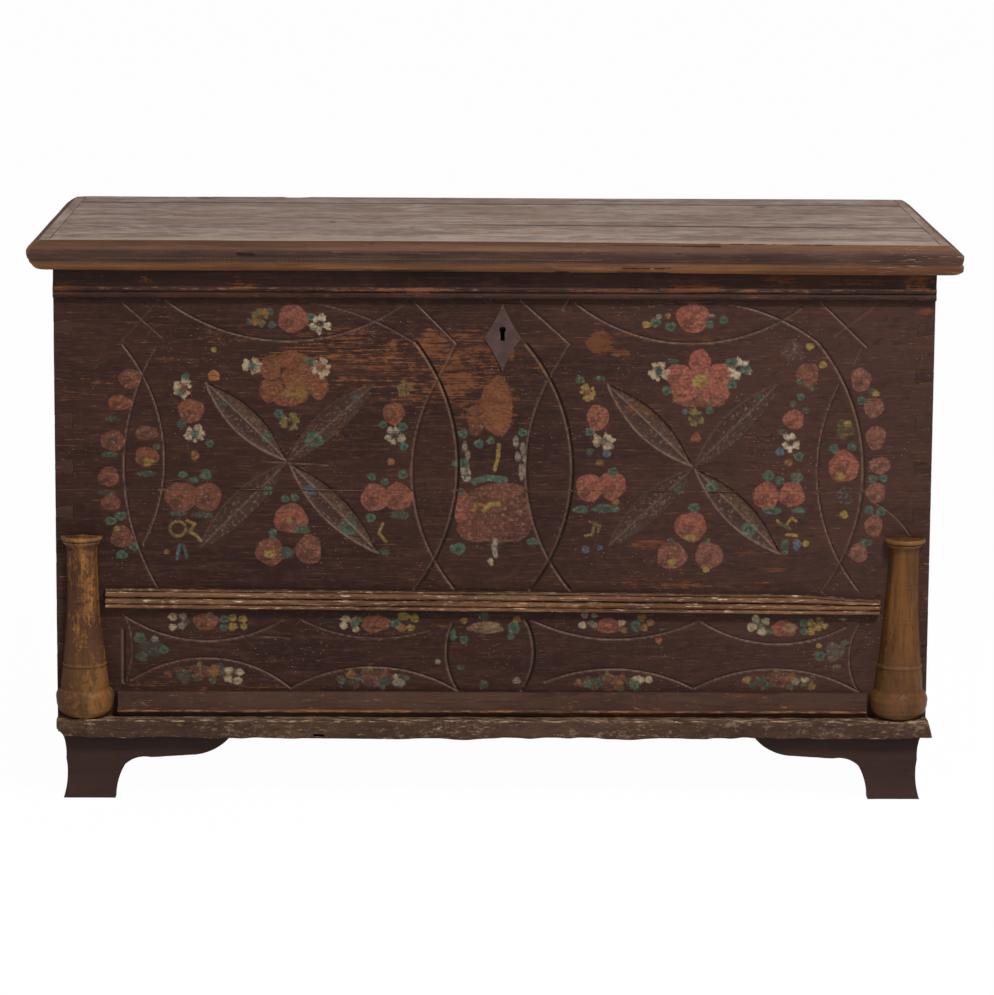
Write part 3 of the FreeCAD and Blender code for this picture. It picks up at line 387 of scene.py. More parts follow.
    @staticmethod
    def distance(spots, start, end):
        """How far each spot lies from the nearest side."""
        best = np.full(len(spots), 1e9)
        for a, b in zip(start, end):
            along = b - a
            t = np.clip(((spots - a) @ along) / max(along @ along, 1e-18), 0, 1)
            gap = spots - a - t[:, None] * along
            best = np.minimum(best, np.einsum("ij,ij->i", gap, gap))
        return np.sqrt(best)

    def finish(self):
        """Joins the planes, and finds the way out of the surface at every point."""
        self.points = np.array([tuple(p) for p in self.points])
        self.triangles = np.concatenate(self.triangles)
        self.normals = np.concatenate(self.normals)
        used, back = np.unique(self.triangles, return_inverse=True)
        self.triangles = back.reshape(self.triangles.shape)
        marks = np.zeros(len(self.points))
        for point, sharp in self.arris.items():
            marks[point] = sharp
        self.points, self.marks = self.points[used], marks[used]
        total = np.zeros_like(self.points)
        for normal in np.unique(np.round(self.normals, 3), axis=0):
            chosen = np.all(np.abs(self.normals - normal) < 2e-3, axis=1)
            touched = np.unique(self.triangles[chosen])
            total[touched] += normal
        size = np.linalg.norm(total, axis=1)
        self.out = total / np.maximum(size, 1e-9)[:, None]
        self.rest = self.points.copy()

    def wear(self, seed, dents=0.0003, grain=(0.09, 0.012, 0.012), chips=0.0):
        """Eases the arrises and sinks the surface a little, unevenly."""
        edge = self.marks > 0
        depth = np.zeros(len(self.points))
        uneven = 0.6 + 0.5 * ripple(self.rest, (0.05, 0.05, 0.05), seed)
        depth[edge] += self.ease * 0.5 * np.clip(uneven[edge], 0.25, 1.3)
        depth += dents * (0.5 + 0.5 * ripple(self.rest, grain, seed + 1))
        if chips:
            bite = np.clip(ripple(self.rest, (0.016, 0.016, 0.016), seed + 2) - 0.35, 0, 1)
            depth[edge] += chips * bite[edge]
        self.points = self.points - self.out * depth[:, None]
        return self


def make(skin, body, pick, finish="worn"):
    """Turns a skin into a piece; pick(skin) lists materials and gives each face its number."""
    mesh = bpy.data.meshes.new(f"{skin.node}_{finish}")
    count = len(skin.triangles)
    mesh.vertices.add(len(skin.points))
    mesh.vertices.foreach_set("co", skin.points.astype(np.float32).ravel())
    mesh.loops.add(count * 3)
    mesh.loops.foreach_set("vertex_index", skin.triangles.astype(np.int32).ravel())
    mesh.polygons.add(count)
    mesh.polygons.foreach_set("loop_start", np.arange(0, count * 3, 3, dtype=np.int32))
    materials, numbers = pick(skin)
    for material in materials:
        mesh.materials.append(material)
    mesh.polygons.foreach_set("material_index", np.asarray(numbers, np.int32))
    mesh.update(calc_edges=True)
    mesh.validate()
    mesh.polygons.foreach_set("use_smooth", np.ones(len(mesh.polygons), bool))
    mesh.set_sharp_from_angle(angle=SHARP_BOARD)
    piece = stand_in(mesh, body, skin.node)
    set_attributes(piece, edge=np.clip(skin.marks, 0, 1))
    return piece


def stand_in(mesh, body, node):
    """The piece that shows a mesh instead of its CAD node."""
    piece = bpy.data.objects.new(mesh.name, mesh)
    bpy.context.scene.collection.objects.link(piece)
    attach(piece, body)
    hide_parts(node)
    return piece


def set_attributes(piece, **layers):
    """Gives each point of a piece a number, or a colour, under each name."""
    for name, values in layers.items():
        values = np.asarray(values, np.float32)
        kind, key = ("FLOAT_COLOR", "color") if values.ndim == 2 else ("FLOAT", "value")
        layer = piece.data.attributes.new(name, kind, "POINT")
        layer.data.foreach_set(key, values.ravel())


# Materials

BUMP_DEPTH = 0.6 * MM
INK_BASE = "2c1c18"


def linear(text):
    """A colour written as rrggbb, in linear light."""
    shares = [int(text[i:i + 2], 16) / 255 for i in (0, 2, 4)]
    return tuple(s / 12.92 if s <= 0.04045 else ((s + 0.055) / 1.055) ** 2.4 for s in shares)


class Shader:
    """A material under construction, with one method for each kind of node."""

    def __init__(self, name, roughness=0.75, specular=0.35):
        self.material = bpy.data.materials.new(name)
        self.material.use_nodes = True
        self.tree = self.material.node_tree
        self.surface = self.tree.nodes["Principled BSDF"]
        self.surface.inputs["Roughness"].default_value = roughness
        self.surface.inputs["Specular IOR Level"].default_value = specular
        self.place = self.node("ShaderNodeTexCoord").outputs["Object"]

    def node(self, kind, settings=(), **inputs):
        """A node with these settings and inputs; an underscore stands for a blank."""
        made = self.tree.nodes.new(kind)
        for key, value in dict(settings).items():
            setattr(made, key, value)
        for key, value in inputs.items():
            key = key.replace("_", " ")
            self.feed(made.inputs[key], value)
        return made

    def feed(self, socket, value):
        """Links or sets a socket; a text is a colour."""
        if isinstance(value, bpy.types.NodeSocket):
            self.tree.links.new(value, socket)
        elif isinstance(value, str):
            socket.default_value = (*linear(value), 1)
        else:
            socket.default_value = value

    def scaled(self, scale, shift, place=None):
        """Object coordinates, scaled by one number or three and then shifted."""
        node = self.node("ShaderNodeMapping", Vector=place or self.place)
        node.inputs["Scale"].default_value = scale if isinstance(scale, tuple) else (scale,) * 3
        node.inputs["Location"].default_value = shift
        return node.outputs[0]

    def noise(self, scale, detail=4, rough=0.55, shift=0, place=None):
        """Cloudy noise from 0 to 1."""
        spot = self.scaled(scale, (shift, shift * 1.7, shift * 0.6), place)
        return self.node("ShaderNodeTexNoise", Vector=spot, Scale=1.0, Detail=detail,
                         Roughness=rough).outputs[0]

    def grain(self, axis, length, across, detail=4, rough=0.55, shift=0):
        """Noise drawn out along x, y or z, as timber is."""
        return self.noise(along(axis, length, across), detail, rough, shift)

    def slanted(self, scale, tilt, shift):
        """Noise drawn out along a line turned in the plane of x and y, for scratches."""
        node = self.node("ShaderNodeMapping", Vector=self.place)
        node.inputs["Rotation"].default_value = (0, 0, tilt)
        return self.noise(scale, 3, 0.6, shift, place=node.outputs[0])

    def spots(self, scale, shift=0):
        """Distance to the nearest of many scattered points."""
        spot = self.scaled(scale, (shift, shift, shift))
        return self.node("ShaderNodeTexVoronoi", Vector=spot, Scale=1.0).outputs["Distance"]

    def rings(self, scale, distortion, detail_scale, shift):
        """Wavering bands, as growth rings show on a board."""
        spot = self.scaled(scale, (shift, shift, shift))
        return self.node("ShaderNodeTexWave", {"bands_direction": "DIAGONAL"}, Vector=spot,
                         Scale=1.0, Distortion=distortion, Detail=3.0,
                         Detail_Scale=detail_scale).outputs["Fac"]

    def band(self, value, low, high, out_low=0.0, out_high=1.0):
        """A value eased from low to high into another range."""
        node = self.node("ShaderNodeMapRange", {"interpolation_type": "SMOOTHSTEP"}, Value=value)
        for key, number in (("From Min", low), ("From Max", high),
                            ("To Min", out_low), ("To Max", out_high)):
            self.feed(node.inputs[key], number)
        return node.outputs[0]

    def sum(self, a, b, way="ADD"):
        """Two values put together."""
        node = self.node("ShaderNodeMath", {"operation": way})
        self.feed(node.inputs[0], a)
        self.feed(node.inputs[1], b)
        return node.outputs[0]

    def times(self, a, b):
        """The product of two values."""
        return self.sum(a, b, "MULTIPLY")

    def weigh(self, first, *others):
        """The sum of values, each times its weight."""
        total = self.times(*first)
        for part in others:
            total = self.sum(total, self.times(*part))
        return total

    def mix(self, share, a, b, way="MIX"):
        """The first colour, with the second laid over it by a share."""
        node = self.node("ShaderNodeMix", {"data_type": "RGBA", "blend_type": way})
        node.clamp_factor = True
        self.feed(node.inputs[0], share)
        self.feed(node.inputs[6], a)
        self.feed(node.inputs[7], b)
        return node.outputs[2]

    def tint(self, colour, over, value, low, high, most=1):
        """Lays a colour over another as a value goes from low to high."""
        return self.mix(self.band(value, low, high, 0, most), colour, over)

    def cover(self, colour, over, share, most):
        """Lays a colour over another where a share says so, and by most of it at the most."""
        return self.mix(self.times(share, most), colour, over)

    def attribute(self, name, output="Fac"):
        """A number, or a colour, that the mesh has at each point."""
        return self.node("ShaderNodeAttribute", {"attribute_name": name}).outputs[output]

    def coordinate(self, letter):
        """X, Y or Z of the place in the object's frame."""
        return self.node("ShaderNodeSeparateXYZ", Vector=self.place).outputs[letter]

    def close(self, colour, roughness, bump, strength, distance=BUMP_DEPTH):
        """Feeds the surface and returns the finished material."""
        self.feed(self.surface.inputs["Base Color"], colour)
        self.feed(self.surface.inputs["Roughness"], roughness)
        node = self.node("ShaderNodeBump", Height=bump, Strength=strength, Distance=distance)
        self.feed(self.surface.inputs["Normal"], node.outputs[0])
        return self.material


def along(axis, length, across):
    """Mapping scales for timber that runs along x, y or z."""
    return tuple(length if a == axis else across for a in "xyz")


def timber(shader, axis, dark, middle, light, shift=0):
    """Bare wood: broad tone, growth lines, fine fibres. Returns its colour and its relief."""
    tone = shader.grain(axis, 2.2, 26, 5, 0.6, shift)
    lines = shader.rings(along(axis, 1.3, 21), 9, 0.7, shift)
    fibre = shader.grain(axis, 14, 620, 3, 0.6, shift)
    colour = shader.tint(dark, light, tone, 0.32, 0.68)
    colour = shader.cover(colour, middle, shader.band(lines, 0.15, 0.9), 0.5)
    colour = shader.tint(colour, dark, fibre, 0.42, 0.72, 0.45)
    return colour, shader.grain(axis, 12, 240, 2, 0.5, shift + 1)


def knots(shader, colour, axis, scale, dark, shift):
    """Lays scattered knots, each a dark core in a paler halo, over a colour."""
    far = shader.spots(along(axis, scale * 0.45, scale), shift)
    core = shader.band(far, 0.035, 0.10, 1, 0)
    halo = shader.band(far, 0.08, 0.26, 0.55, 0)
    return shader.mix(shader.sum(core, halo, "MAXIMUM"), colour, dark)


def wear_mask(shader, axis, low, high, extra=None, shift=0, shares=(0.34, 0.26, 0.40)):
    """Where the paint has rubbed through: fine scratches, blotches and small chips."""
    streak = shader.grain(axis, 20, 500, 4, 0.62, shift)
    patch = shader.grain(axis, 14, 32, 4, 0.6, shift + 3)
    chip = shader.grain(axis, 85, 170, 5, 0.7, shift + 5)
    total = shader.weigh(*zip((streak, patch, chip), shares))
    if extra is not None:
        total = shader.sum(total, extra)
    return shader.band(total, low, high)


def paint_front():
    """The painted front: dark ground, flowers, carved lines and the wood that shows through."""
    shader = Shader("paint_front", 0.7, 0.14)
    wood, relief = timber(shader, "x", "4a2a1a", "623d28", "7b4e30", 1)
    wood = shader.tint(wood, "4c2719", shader.grain("x", 110, 190, 5, 0.7, 17), 0.46, 0.62, 0.75)
    ground = shader.tint("24120e", "311b14", shader.grain("x", 5, 22, 5), 0.3, 0.7)
    # Painted light: the ground is lighter towards the right, where the key lamp falls more strongly
    ground = shader.tint(ground, "452d26", shader.coordinate("X"), -0.1, 0.55, 0.42)
    ground = shader.tint(ground, "42261c", shader.grain("x", 60, 90, 5, 0.7, 19), 0.5, 0.68, 0.5)
    ground = shader.tint(ground, "4c3022", shader.grain("x", 24, 420, 4), 0.5, 0.72, 0.45)
    ground = shader.tint(ground, "1f0f0b", shader.grain("x", 60, 160, 5, 0.7), 0.5, 0.7, 0.55)
    ink = shader.attribute("ink", "Color")
    field = shader.attribute("ink", "Alpha")
    crumble = shader.noise(420, 4, 0.65, 2)
    cover = shader.sum(field, shader.band(crumble, 0.3, 0.7, -0.15, 0.15))
    cover = shader.band(cover, 0.34, 0.66)
    lost = shader.grain("x", 170, 300, 4, 0.7, 23)
    cover = shader.times(cover, shader.band(lost, 0.58, 0.68, 1, 0.2))
    combed = shader.grain("x", 26, 360, 4, 0.65, 29)
    cover = shader.times(cover, shader.band(combed, 0.54, 0.68, 1, 0.45))
    shade = shader.tint(ink, "2c1a12", shader.noise(230, 3, 0.5, 4), 0.4, 0.7, 0.5)
    shade = shader.tint(shade, "3b2519", shader.noise(95, 3, 0.55, 37), 0.46, 0.66, 0.4)
    shade = shader.tint(shade, "b08e76", shader.noise(250, 3, 0.55, 14), 0.5, 0.76, 0.22)
    colour = shader.cover(ground, shade, cover, 0.92)
    score = shader.attribute("score")
    bias = shader.weigh((shader.attribute("worn"), 0.19), (shader.attribute("edge"), 0.07),
                        (score, 0.02))
    mask = wear_mask(shader, "x", 0.590, 0.645, bias, 0, (0.46, 0.18, 0.36))
    colour = shader.cover(colour, wood, mask, 0.8)
    broken = shader.band(shader.noise(120, 4, 0.65), 0.34, 0.58, 0.4, 1.0)
    # Painted highlight, with rubbing, on the lit wall of each cut, and paler along the leaves'
    # veins
    colour = shader.cover(colour, "7f6555", shader.times(score, broken), 0.72)
    # Painted shade on the shaded wall and in the core of each cut
    colour = shader.tint(colour, "140a09", shader.attribute("groove"), 0.1, 0.75, 0.9)
    scratch = shader.grain("x", 40, 900, 3, 0.6, 27)
    colour = shader.tint(colour, "7b5540", scratch, 0.66, 0.72, 0.5)
    speck = shader.band(shader.spots(190, 3), 0.05, 0.13, 1, 0)
    speck = shader.times(speck, shader.band(shader.noise(11, 3, 0.5, 7), 0.46, 0.6))
    colour = shader.cover(colour, "9c8871", speck, 0.7)
    bump = shader.weigh((relief, 0.35), (mask, -0.6), (cover, 0.3))
    rough = shader.band(mask, 0, 1, 0.62, 0.88)
    return shader.close(colour, rough, bump, 0.5, 0.8 * MM)


def paint_plain(name, axis, ground, ground_light, wood_dark, wood_light,
                low=0.60, high=0.68, edge=0.16, shift=0, roughness=0.6, grime=None,
                grain=0.6, reeds=0.0, crest_light=None, blotch=None, painted_top_shade=None,
                rub=(0.62, 0.70), speckle=None):
    """One coat of worn paint over timber, rubbed through on its arrises and its reeds, with painted
    shade in the reeds' hollows and towards a given top, and paler rubbed paint with painted
    highlight on the crests.
    """
    shader = Shader(name, roughness, 0.15)
    wood, relief = timber(shader, axis, wood_dark, wood_dark, wood_light, shift)
    tone = shader.band(shader.grain(axis, 5, 20, 5, 0.6, shift), 0.3, 0.7)
    colour = shader.mix(tone, ground, ground_light)
    if blotch:
        spread = shader.grain(axis, 28, 60, 5, 0.7, shift + 8)
        colour = shader.tint(colour, blotch, spread, 0.48, 0.62, 0.8)
    fine = shader.grain(axis, 22, 300, 4, 0.6, shift)
    colour = shader.tint(colour, grime or wood_dark, fine, 0.5, 0.74, grain)
    bias = shader.weigh((shader.attribute("edge"), edge), (shader.attribute("worn"), 0.17))
    if reeds:
        proud = shader.attribute("proud")
        # Painted shade in the hollows between the reeds
        hollow = shader.band(proud, 0.12, 0.62, reeds, 0)
        colour = shader.mix(hollow, colour, "1f1411")
        bias = shader.sum(bias, shader.band(proud, 0.70, 0.96, 0, 0.06))
    mask = wear_mask(shader, axis, low, high, bias, shift)
    colour = shader.cover(colour, wood, mask, 0.85)
    # Paler paint on the crests: rubbed paint and painted highlight
    if crest_light:
        crest = shader.band(shader.attribute("proud"), 0.72, 0.97)
        rubbed = shader.grain(axis, 45, 330, 5, 0.72, shift + 12)
        rubbed = shader.band(shader.sum(rubbed, shader.times(crest, 0.12)), *rub)
        colour = shader.cover(colour, crest_light, rubbed, 0.8)
    if speckle:
        fleck = shader.grain(axis, 130, 260, 4, 0.75, shift + 20)
        patch = shader.grain(axis, 16, 30, 3, 0.6, shift + 22)
        fleck = shader.weigh((fleck, 0.65), (patch, 0.35))
        colour = shader.tint(colour, speckle, fleck, 0.53, 0.64, 0.62)
        pit = shader.grain(axis, 90, 200, 4, 0.75, shift + 24)
        colour = shader.tint(colour, "1d120e", pit, 0.54, 0.66, 0.6)
    # Painted shade: darker towards the top between the given heights, for the frieze under the
    # lid's overhang and the feet under the plinth
    if painted_top_shade:
        colour = shader.tint(colour, "160b09", shader.coordinate("Z"), *painted_top_shade)
    bump = shader.weigh((relief, 0.4), (mask, -0.6))
    return shader.close(colour, shader.band(mask, 0, 1, roughness, 0.86), bump, 0.4)


def bare(name, axis, dark, middle, light, shift, roughness=0.72, knot_scale=2.6):
    """Unpainted timber with knots and stains."""
    shader = Shader(name, roughness, 0.15)
    colour, relief = timber(shader, axis, dark, middle, light, shift)
    colour = knots(shader, colour, axis, knot_scale, dark, shift + 11)
    stain = shader.band(shader.noise(4, 4, 0.6, shift + 4), 0.45, 0.75, 0, 0.5)
    colour = shader.mix(stain, colour, dark, "MULTIPLY")
    return shader.close(colour, shader.band(relief, 0.2, 0.8, roughness - 0.06, roughness + 0.1),
                        relief, 0.45)


# The lid's seams: where each lies, its width, and the x from which it opens to the x where it gapes
LID_SEAMS = ((-79.8 * MM, 9.5 * MM, -120 * MM, 60 * MM), (202.3 * MM, 9 * MM, -2, -1))


def lid_top_wood(name, axis):
    """Weathered top of the lid: grey-brown, mottled, seams, fine scores and smudges."""
    shader = Shader(name, 0.55, 0.3)
    tone = shader.grain(axis, 4, 13, 5, 0.66, 5)
    colour = shader.tint("70594d", "8b7669", tone, 0.38, 0.64)
    grain = shader.grain(axis, 5, 42, 3, 0.6, 71)
    colour = shader.tint(colour, "604b40", grain, 0.5, 0.66, 0.55)
    colour = shader.tint(colour, "a29084", grain, 0.48, 0.34, 0.5)
    mottle = shader.grain(axis, 34, 46, 5, 0.72, 41)
    colour = shader.tint(colour, "5f4a3b", mottle, 0.5, 0.64, 0.6)
    colour = shader.tint(colour, "a08d82", mottle, 0.5, 0.37, 0.45)
    fibre = shader.grain(axis, 24, 330, 4, 0.65, 6)
    colour = shader.tint(colour, "5a473d", fibre, 0.5, 0.74, 0.3)
    colour = shader.tint(colour, "9e8b7f", shader.grain(axis, 7, 16, 4, 0.6, 8), 0.5, 0.68, 0.5)
    colour = shader.tint(colour, "7c5f4c", shader.grain(axis, 6, 14, 4, 0.6, 15), 0.48, 0.66, 0.6)
    stain = shader.attribute("stain")
    ragged = shader.times(shader.sum(shader.grain(axis, 26, 44, 4, 0.7, 51), -0.5), 2.4)
    dark = shader.band(shader.sum(stain, ragged), 0.2, 0.9)
    light = shader.band(shader.sum(shader.times(stain, -1), ragged), 0.25, 1.0, 0, 0.5)
    colour = shader.cover(colour, "3c2c24", dark, 0.8)
    colour = shader.mix(light, colour, "ae9f95")
    if axis == "x":
        seat = shader.coordinate("Y")
        colour = shader.tint(colour, "a4917f", seat, -0.235, -0.275, 0.5)
        wander = shader.times(shader.sum(shader.noise((9, 30, 30), 3), -0.5), 0.006)
        for seam, width, weak, strong in LID_SEAMS:
            gap = shader.sum(shader.sum(shader.sum(seat, wander), -seam), 0, "ABSOLUTE")
            dark = shader.band(gap, width * 0.4, width, 0.9, 0)
            dark = shader.times(dark, shader.band(shader.coordinate("X"), weak, strong, 0.12, 1))
            colour = shader.mix(dark, colour, "3b2b23")
    score = shader.band(shader.grain(axis, 8, 90, 3, 0.7, 31), 0.62, 0.72)
    colour = shader.cover(colour, "b5a596", score, 0.45)
    for tilt, shift in ((0.5, 61), (-0.7, 67)):
        slanted = shader.slanted((6, 120, 1), tilt, shift)
        colour = shader.tint(colour, "b8a99d", slanted, 0.64, 0.72, 0.4)
    return shader.close(colour, shader.band(tone, 0.3, 0.7, 0.5, 0.66), mottle, 0.2)


def rim(name, axis):
    """The lid's moulded edge: brown bevel, dark middle band, rubbed bead below."""
    shader = Shader(name, 0.6, 0.18)
    bevel, relief = timber(shader, axis, "42291c", "573a2a", "6b4b37", 3)
    bead, _ = timber(shader, axis, "4d2f1d", "6e472c", "875b38", 9)
    bead = shader.tint(bead, "5b3322", shader.grain(axis, 10, 60, 4, 0.6, 18), 0.5, 0.68, 0.5)
    dark = shader.tint("2f1d17", "463026", shader.grain(axis, 7, 60, 4), 0.3, 0.7)
    height = shader.coordinate("Z")
    wander = shader.times(shader.sum(shader.grain(axis, 6, 30, 3), -0.5), 0.003)
    height = shader.sum(height, wander)
    share = shader.times(shader.band(height, 0.7305, 0.7355),
                         shader.band(height, 0.7485, 0.7530, 1, 0))
    colour = shader.tint(bead, bevel, height, 0.736, 0.748)
    colour = shader.mix(share, colour, dark)
    worn = wear_mask(shader, axis, 0.575, 0.65, None, 2)
    worn = shader.times(worn, shader.band(height, 0.728, 0.736, 0.8, 0.25))
    colour = shader.mix(worn, colour, "8d6640")
    colour = shader.tint(colour, "2f201a", shader.grain(axis, 9, 120, 4, 0.6, 12), 0.52, 0.75, 0.4)
    scratch = shader.band(shader.grain(axis, 30, 800, 3, 0.65, 33), 0.60, 0.68)
    if axis == "x":
        ends = shader.band(shader.coordinate("X"), 0.42, 0.58, 0.12, 0.9)
    else:
        ends = 0.2
    colour = shader.cover(colour, "a58a70", scratch, ends)
    colour = shader.cover(colour, "8f7052", shader.attribute("edge"), 0.22)
    return shader.close(colour, shader.band(relief, 0.2, 0.8, 0.54, 0.74), relief, 0.35)


def column_coat(name, base, light, dark, worn_low, shift, side=None, gloss=0.5, bun=None):
    """Turned column: brown varnish worn in streaks down the shaft, painted shade in its hollows,
    and paler paint on its ridges, rubbed and painted highlight.
    """
    shader = Shader(name, 0.62, 0.16)
    tone = shader.grain("z", 7, 62, 5, 0.6, shift)
    colour = shader.tint(base, light, tone, 0.34, 0.66)
    streak = shader.band(shader.grain("z", 10, 330, 4, 0.6, shift + 2), 0.5, 0.7, 0, 0.7)
    colour = shader.mix(streak, colour, dark)
    flake = shader.grain("z", 110, 190, 5, 0.72, shift + 4)
    place = shader.grain("z", 14, 26, 3, 0.5, shift + 6)
    total = shader.weigh((flake, 0.6), (place, 0.4))
    if side is not None:
        middle, low, high = side
        away = shader.band(shader.coordinate("X"), middle + 0.006, middle - 0.020, 0, 0.09)
        ring = shader.times(shader.band(shader.coordinate("Z"), low, low + 0.02),
                            shader.band(shader.coordinate("Z"), high - 0.03, high, 1, 0))
        total = shader.sum(total, shader.sum(away, shader.times(ring, 0.07)))
    mask = shader.band(total, worn_low, worn_low + 0.10)
    colour = shader.cover(colour, dark, mask, 0.82)
    turning = shader.noise((20, 20, 900), 2, 0.5, shift + 8)
    colour = shader.tint(colour, dark, turning, 0.5, 0.7, 0.35)
    speck = shader.band(shader.spots(420, shift), 0.08, 0.2, 1, 0)
    speck = shader.times(speck, shader.band(place, 0.48, 0.6))
    colour = shader.cover(colour, "a58a66", speck, 0.45)
    # Paler on the turned ridges: rubbed paint and painted highlight
    colour = shader.cover(colour, "8d6a40", shader.attribute("edge"), 0.28)
    # Painted shade in the hollows of the turned profile
    colour = shader.mix(shader.attribute("hollow"), colour, "24160f")
    if bun:
        low_part = shader.band(shader.coordinate("Z"), 0.175, 0.225, 0.55, 0)
        colour = shader.mix(low_part, colour, shader.mix(tone, bun[0], bun[1]))
    bump = shader.weigh((mask, -0.6), (streak, -0.15))
    return shader.close(colour, shader.band(mask, 0, 1, gloss, 0.8), bump, 0.4, 0.7 * MM)


def iron_coat(name, base, light, rust, roughness=0.55):
    """Dark forged iron with patches of rust."""
    shader = Shader(name, roughness, 0.5)
    shader.surface.inputs["Metallic"].default_value = 0.35
    tone = shader.noise(60, 5, 0.6)
    colour = shader.tint(base, light, tone, 0.35, 0.68)
    patch = shader.band(shader.noise(120, 5, 0.7, 4), 0.52, 0.66)
    colour = shader.cover(colour, rust, patch, 0.6)
    pits = shader.noise(420, 4, 0.6, 6)
    bump = shader.sum(tone, shader.times(pits, 0.4))
    return shader.close(colour, shader.band(pits, 0.3, 0.7, roughness - 0.1, roughness + 0.2),
                        bump, 0.5)


PAINT_FRONT = paint_front()
PAINT_MAROON = {axis: paint_plain("paint_maroon_" + axis, axis, "261512", "36231d", "4d2c18",
                                  "7c4f2e", 0.595, 0.645, 0.05, s, blotch="3a231c")
                for axis, s in (("x", 2), ("y", 6))}
# The frieze's coat has painted shade along its top, under the lid's overhang. The frieze, moulding,
# base and plinth coats have painted highlight, with rubbing, on their crests, and all but the
# plinth have painted shade in their reeds' hollows
FRIEZE_COAT = paint_plain("frieze_coat", "x", "22110d", "301b14", "4e2b18", "7a4b2d",
                          0.575, 0.645, 0.05, 13, reeds=0.6, crest_light="6f4f3c",
                          blotch="381f16", painted_top_shade=(0.708, 0.736, 0.85), rub=(0.66, 0.73))
MOULDING_COAT = paint_plain("moulding_coat", "x", "513624", "755137", "38241a", "a57a56",
                            0.53, 0.61, 0.06, 4, 0.7, "2d1e17", reeds=0.85,
                            crest_light="c3ab8a", blotch="5d3a29", rub=(0.56, 0.66))
BASE_COAT = paint_plain("base_coat", "x", "33211a", "483226", "583724", "7a4d31",
                        0.585, 0.66, 0.05, 9, 0.7, "241612", reeds=0.3,
                        crest_light="8a5c3c", blotch="452c21", rub=(0.61, 0.70))
PLINTH_COAT = paint_plain("plinth_coat", "x", "332219", "483325", "56341f", "85593f",
                          0.575, 0.65, 0.06, 17, 0.74, "231610", crest_light="a08367",
                          blotch="3f2a20", speckle="7d6350")
# The feet's coat has painted shade along their tops, under the plinth
FOOT_COAT = {axis: paint_plain("foot_coat_" + axis, axis, "2a1a16", "36221d", "452a1d",
                               "5a3926", 0.66, 0.78, 0.06, s, 0.66, "241512", 0.3,
                               blotch="322019", painted_top_shade=(0.064, 0.088, 0.6))
             for axis, s in (("x", 5), ("y", 8))}
PINE = {axis: bare("pine_" + axis, axis, "5d4029", "866140", "a98358", s)
        for axis, s in (("x", 1), ("y", 7), ("z", 12))}
END_GRAIN = bare("end_grain", "y", "4a2c1a", "6b4226", "8d5b31", 9, 0.8, 6)
LID_TOP = {axis: lid_top_wood("lid_top_" + axis, axis) for axis in "xy"}
LID_UNDER = bare("lid_under", "x", "4f3726", "755539", "94714b", 3)
RIM = {axis: rim("rim_" + axis, axis) for axis in "xy"}
COLUMN_WORN = column_coat("column_worn", "5c391d", "92622f", "38211a", 0.485, 2,
                          (-0.549, 0.175, 0.262), bun=("3e2518", "624220"))
COLUMN_SMOOTH = column_coat("column_smooth", "472a13", "643e1a", "331d0f", 0.52, 9, None, 0.5,
                            ("40281a", "62401f"))
IRON = iron_coat("iron_dark", "2c2422", "4a3d37", "5a3a28")
PLATE = iron_coat("iron_painted", "3a2623", "49322e", "52372c", 0.65)


# Carving and painting on the front, placed by pixels of the photograph

def through(one, two, three, steps=28):
    """Points of the arc through three photograph pixels."""
    (ax, ay), (bx, by), (cx, cy) = (on_front(*p) for p in (one, two, three))
    d = 2 * (ax * (by - cy) + bx * (cy - ay) + cx * (ay - by))
    a, b, c = ax * ax + ay * ay, bx * bx + by * by, cx * cx + cy * cy
    x = (a * (by - cy) + b * (cy - ay) + c * (ay - by)) / d
    y = (a * (cx - bx) + b * (ax - cx) + c * (bx - ax)) / d
    radius = math.hypot(ax - x, ay - y)
    first, middle, last = (math.atan2(q - y, p - x) for p, q in ((ax, ay), (bx, by), (cx, cy)))
    sweep = (last - first) % math.tau
    if (middle - first) % math.tau > sweep:
        sweep -= math.tau
    return [(x + radius * math.cos(first + sweep * i / steps),
             y + radius * math.sin(first + sweep * i / steps)) for i in range(steps + 1)]


def straight(one, two, steps=12):
    """Points of the line between two photograph pixels."""
    a, b = np.array(on_front(*one)), np.array(on_front(*two))
    return [tuple(a + (b - a) * i / steps) for i in range(steps + 1)]


# Each cut: width, depth, how dark the painted shade on its shaded wall is, how light the painted
# highlight, with rubbing, on its lit wall is
GOUGE = (7.0 * MM, 3.2 * MM, 0.8, 0.66)
SOFT = (6.0 * MM, 2.6 * MM, 0.5, 0.66)
SCRIBE = (4.4 * MM, 1.7 * MM, 0.5, 0.8)
HAIR = (3.4 * MM, 1.0 * MM, 0.25, 0.55)
# The way from a cut towards its shaded wall, which takes painted shade; the wall on the other side
# takes painted highlight
SHADED = (0.75, 0.66)

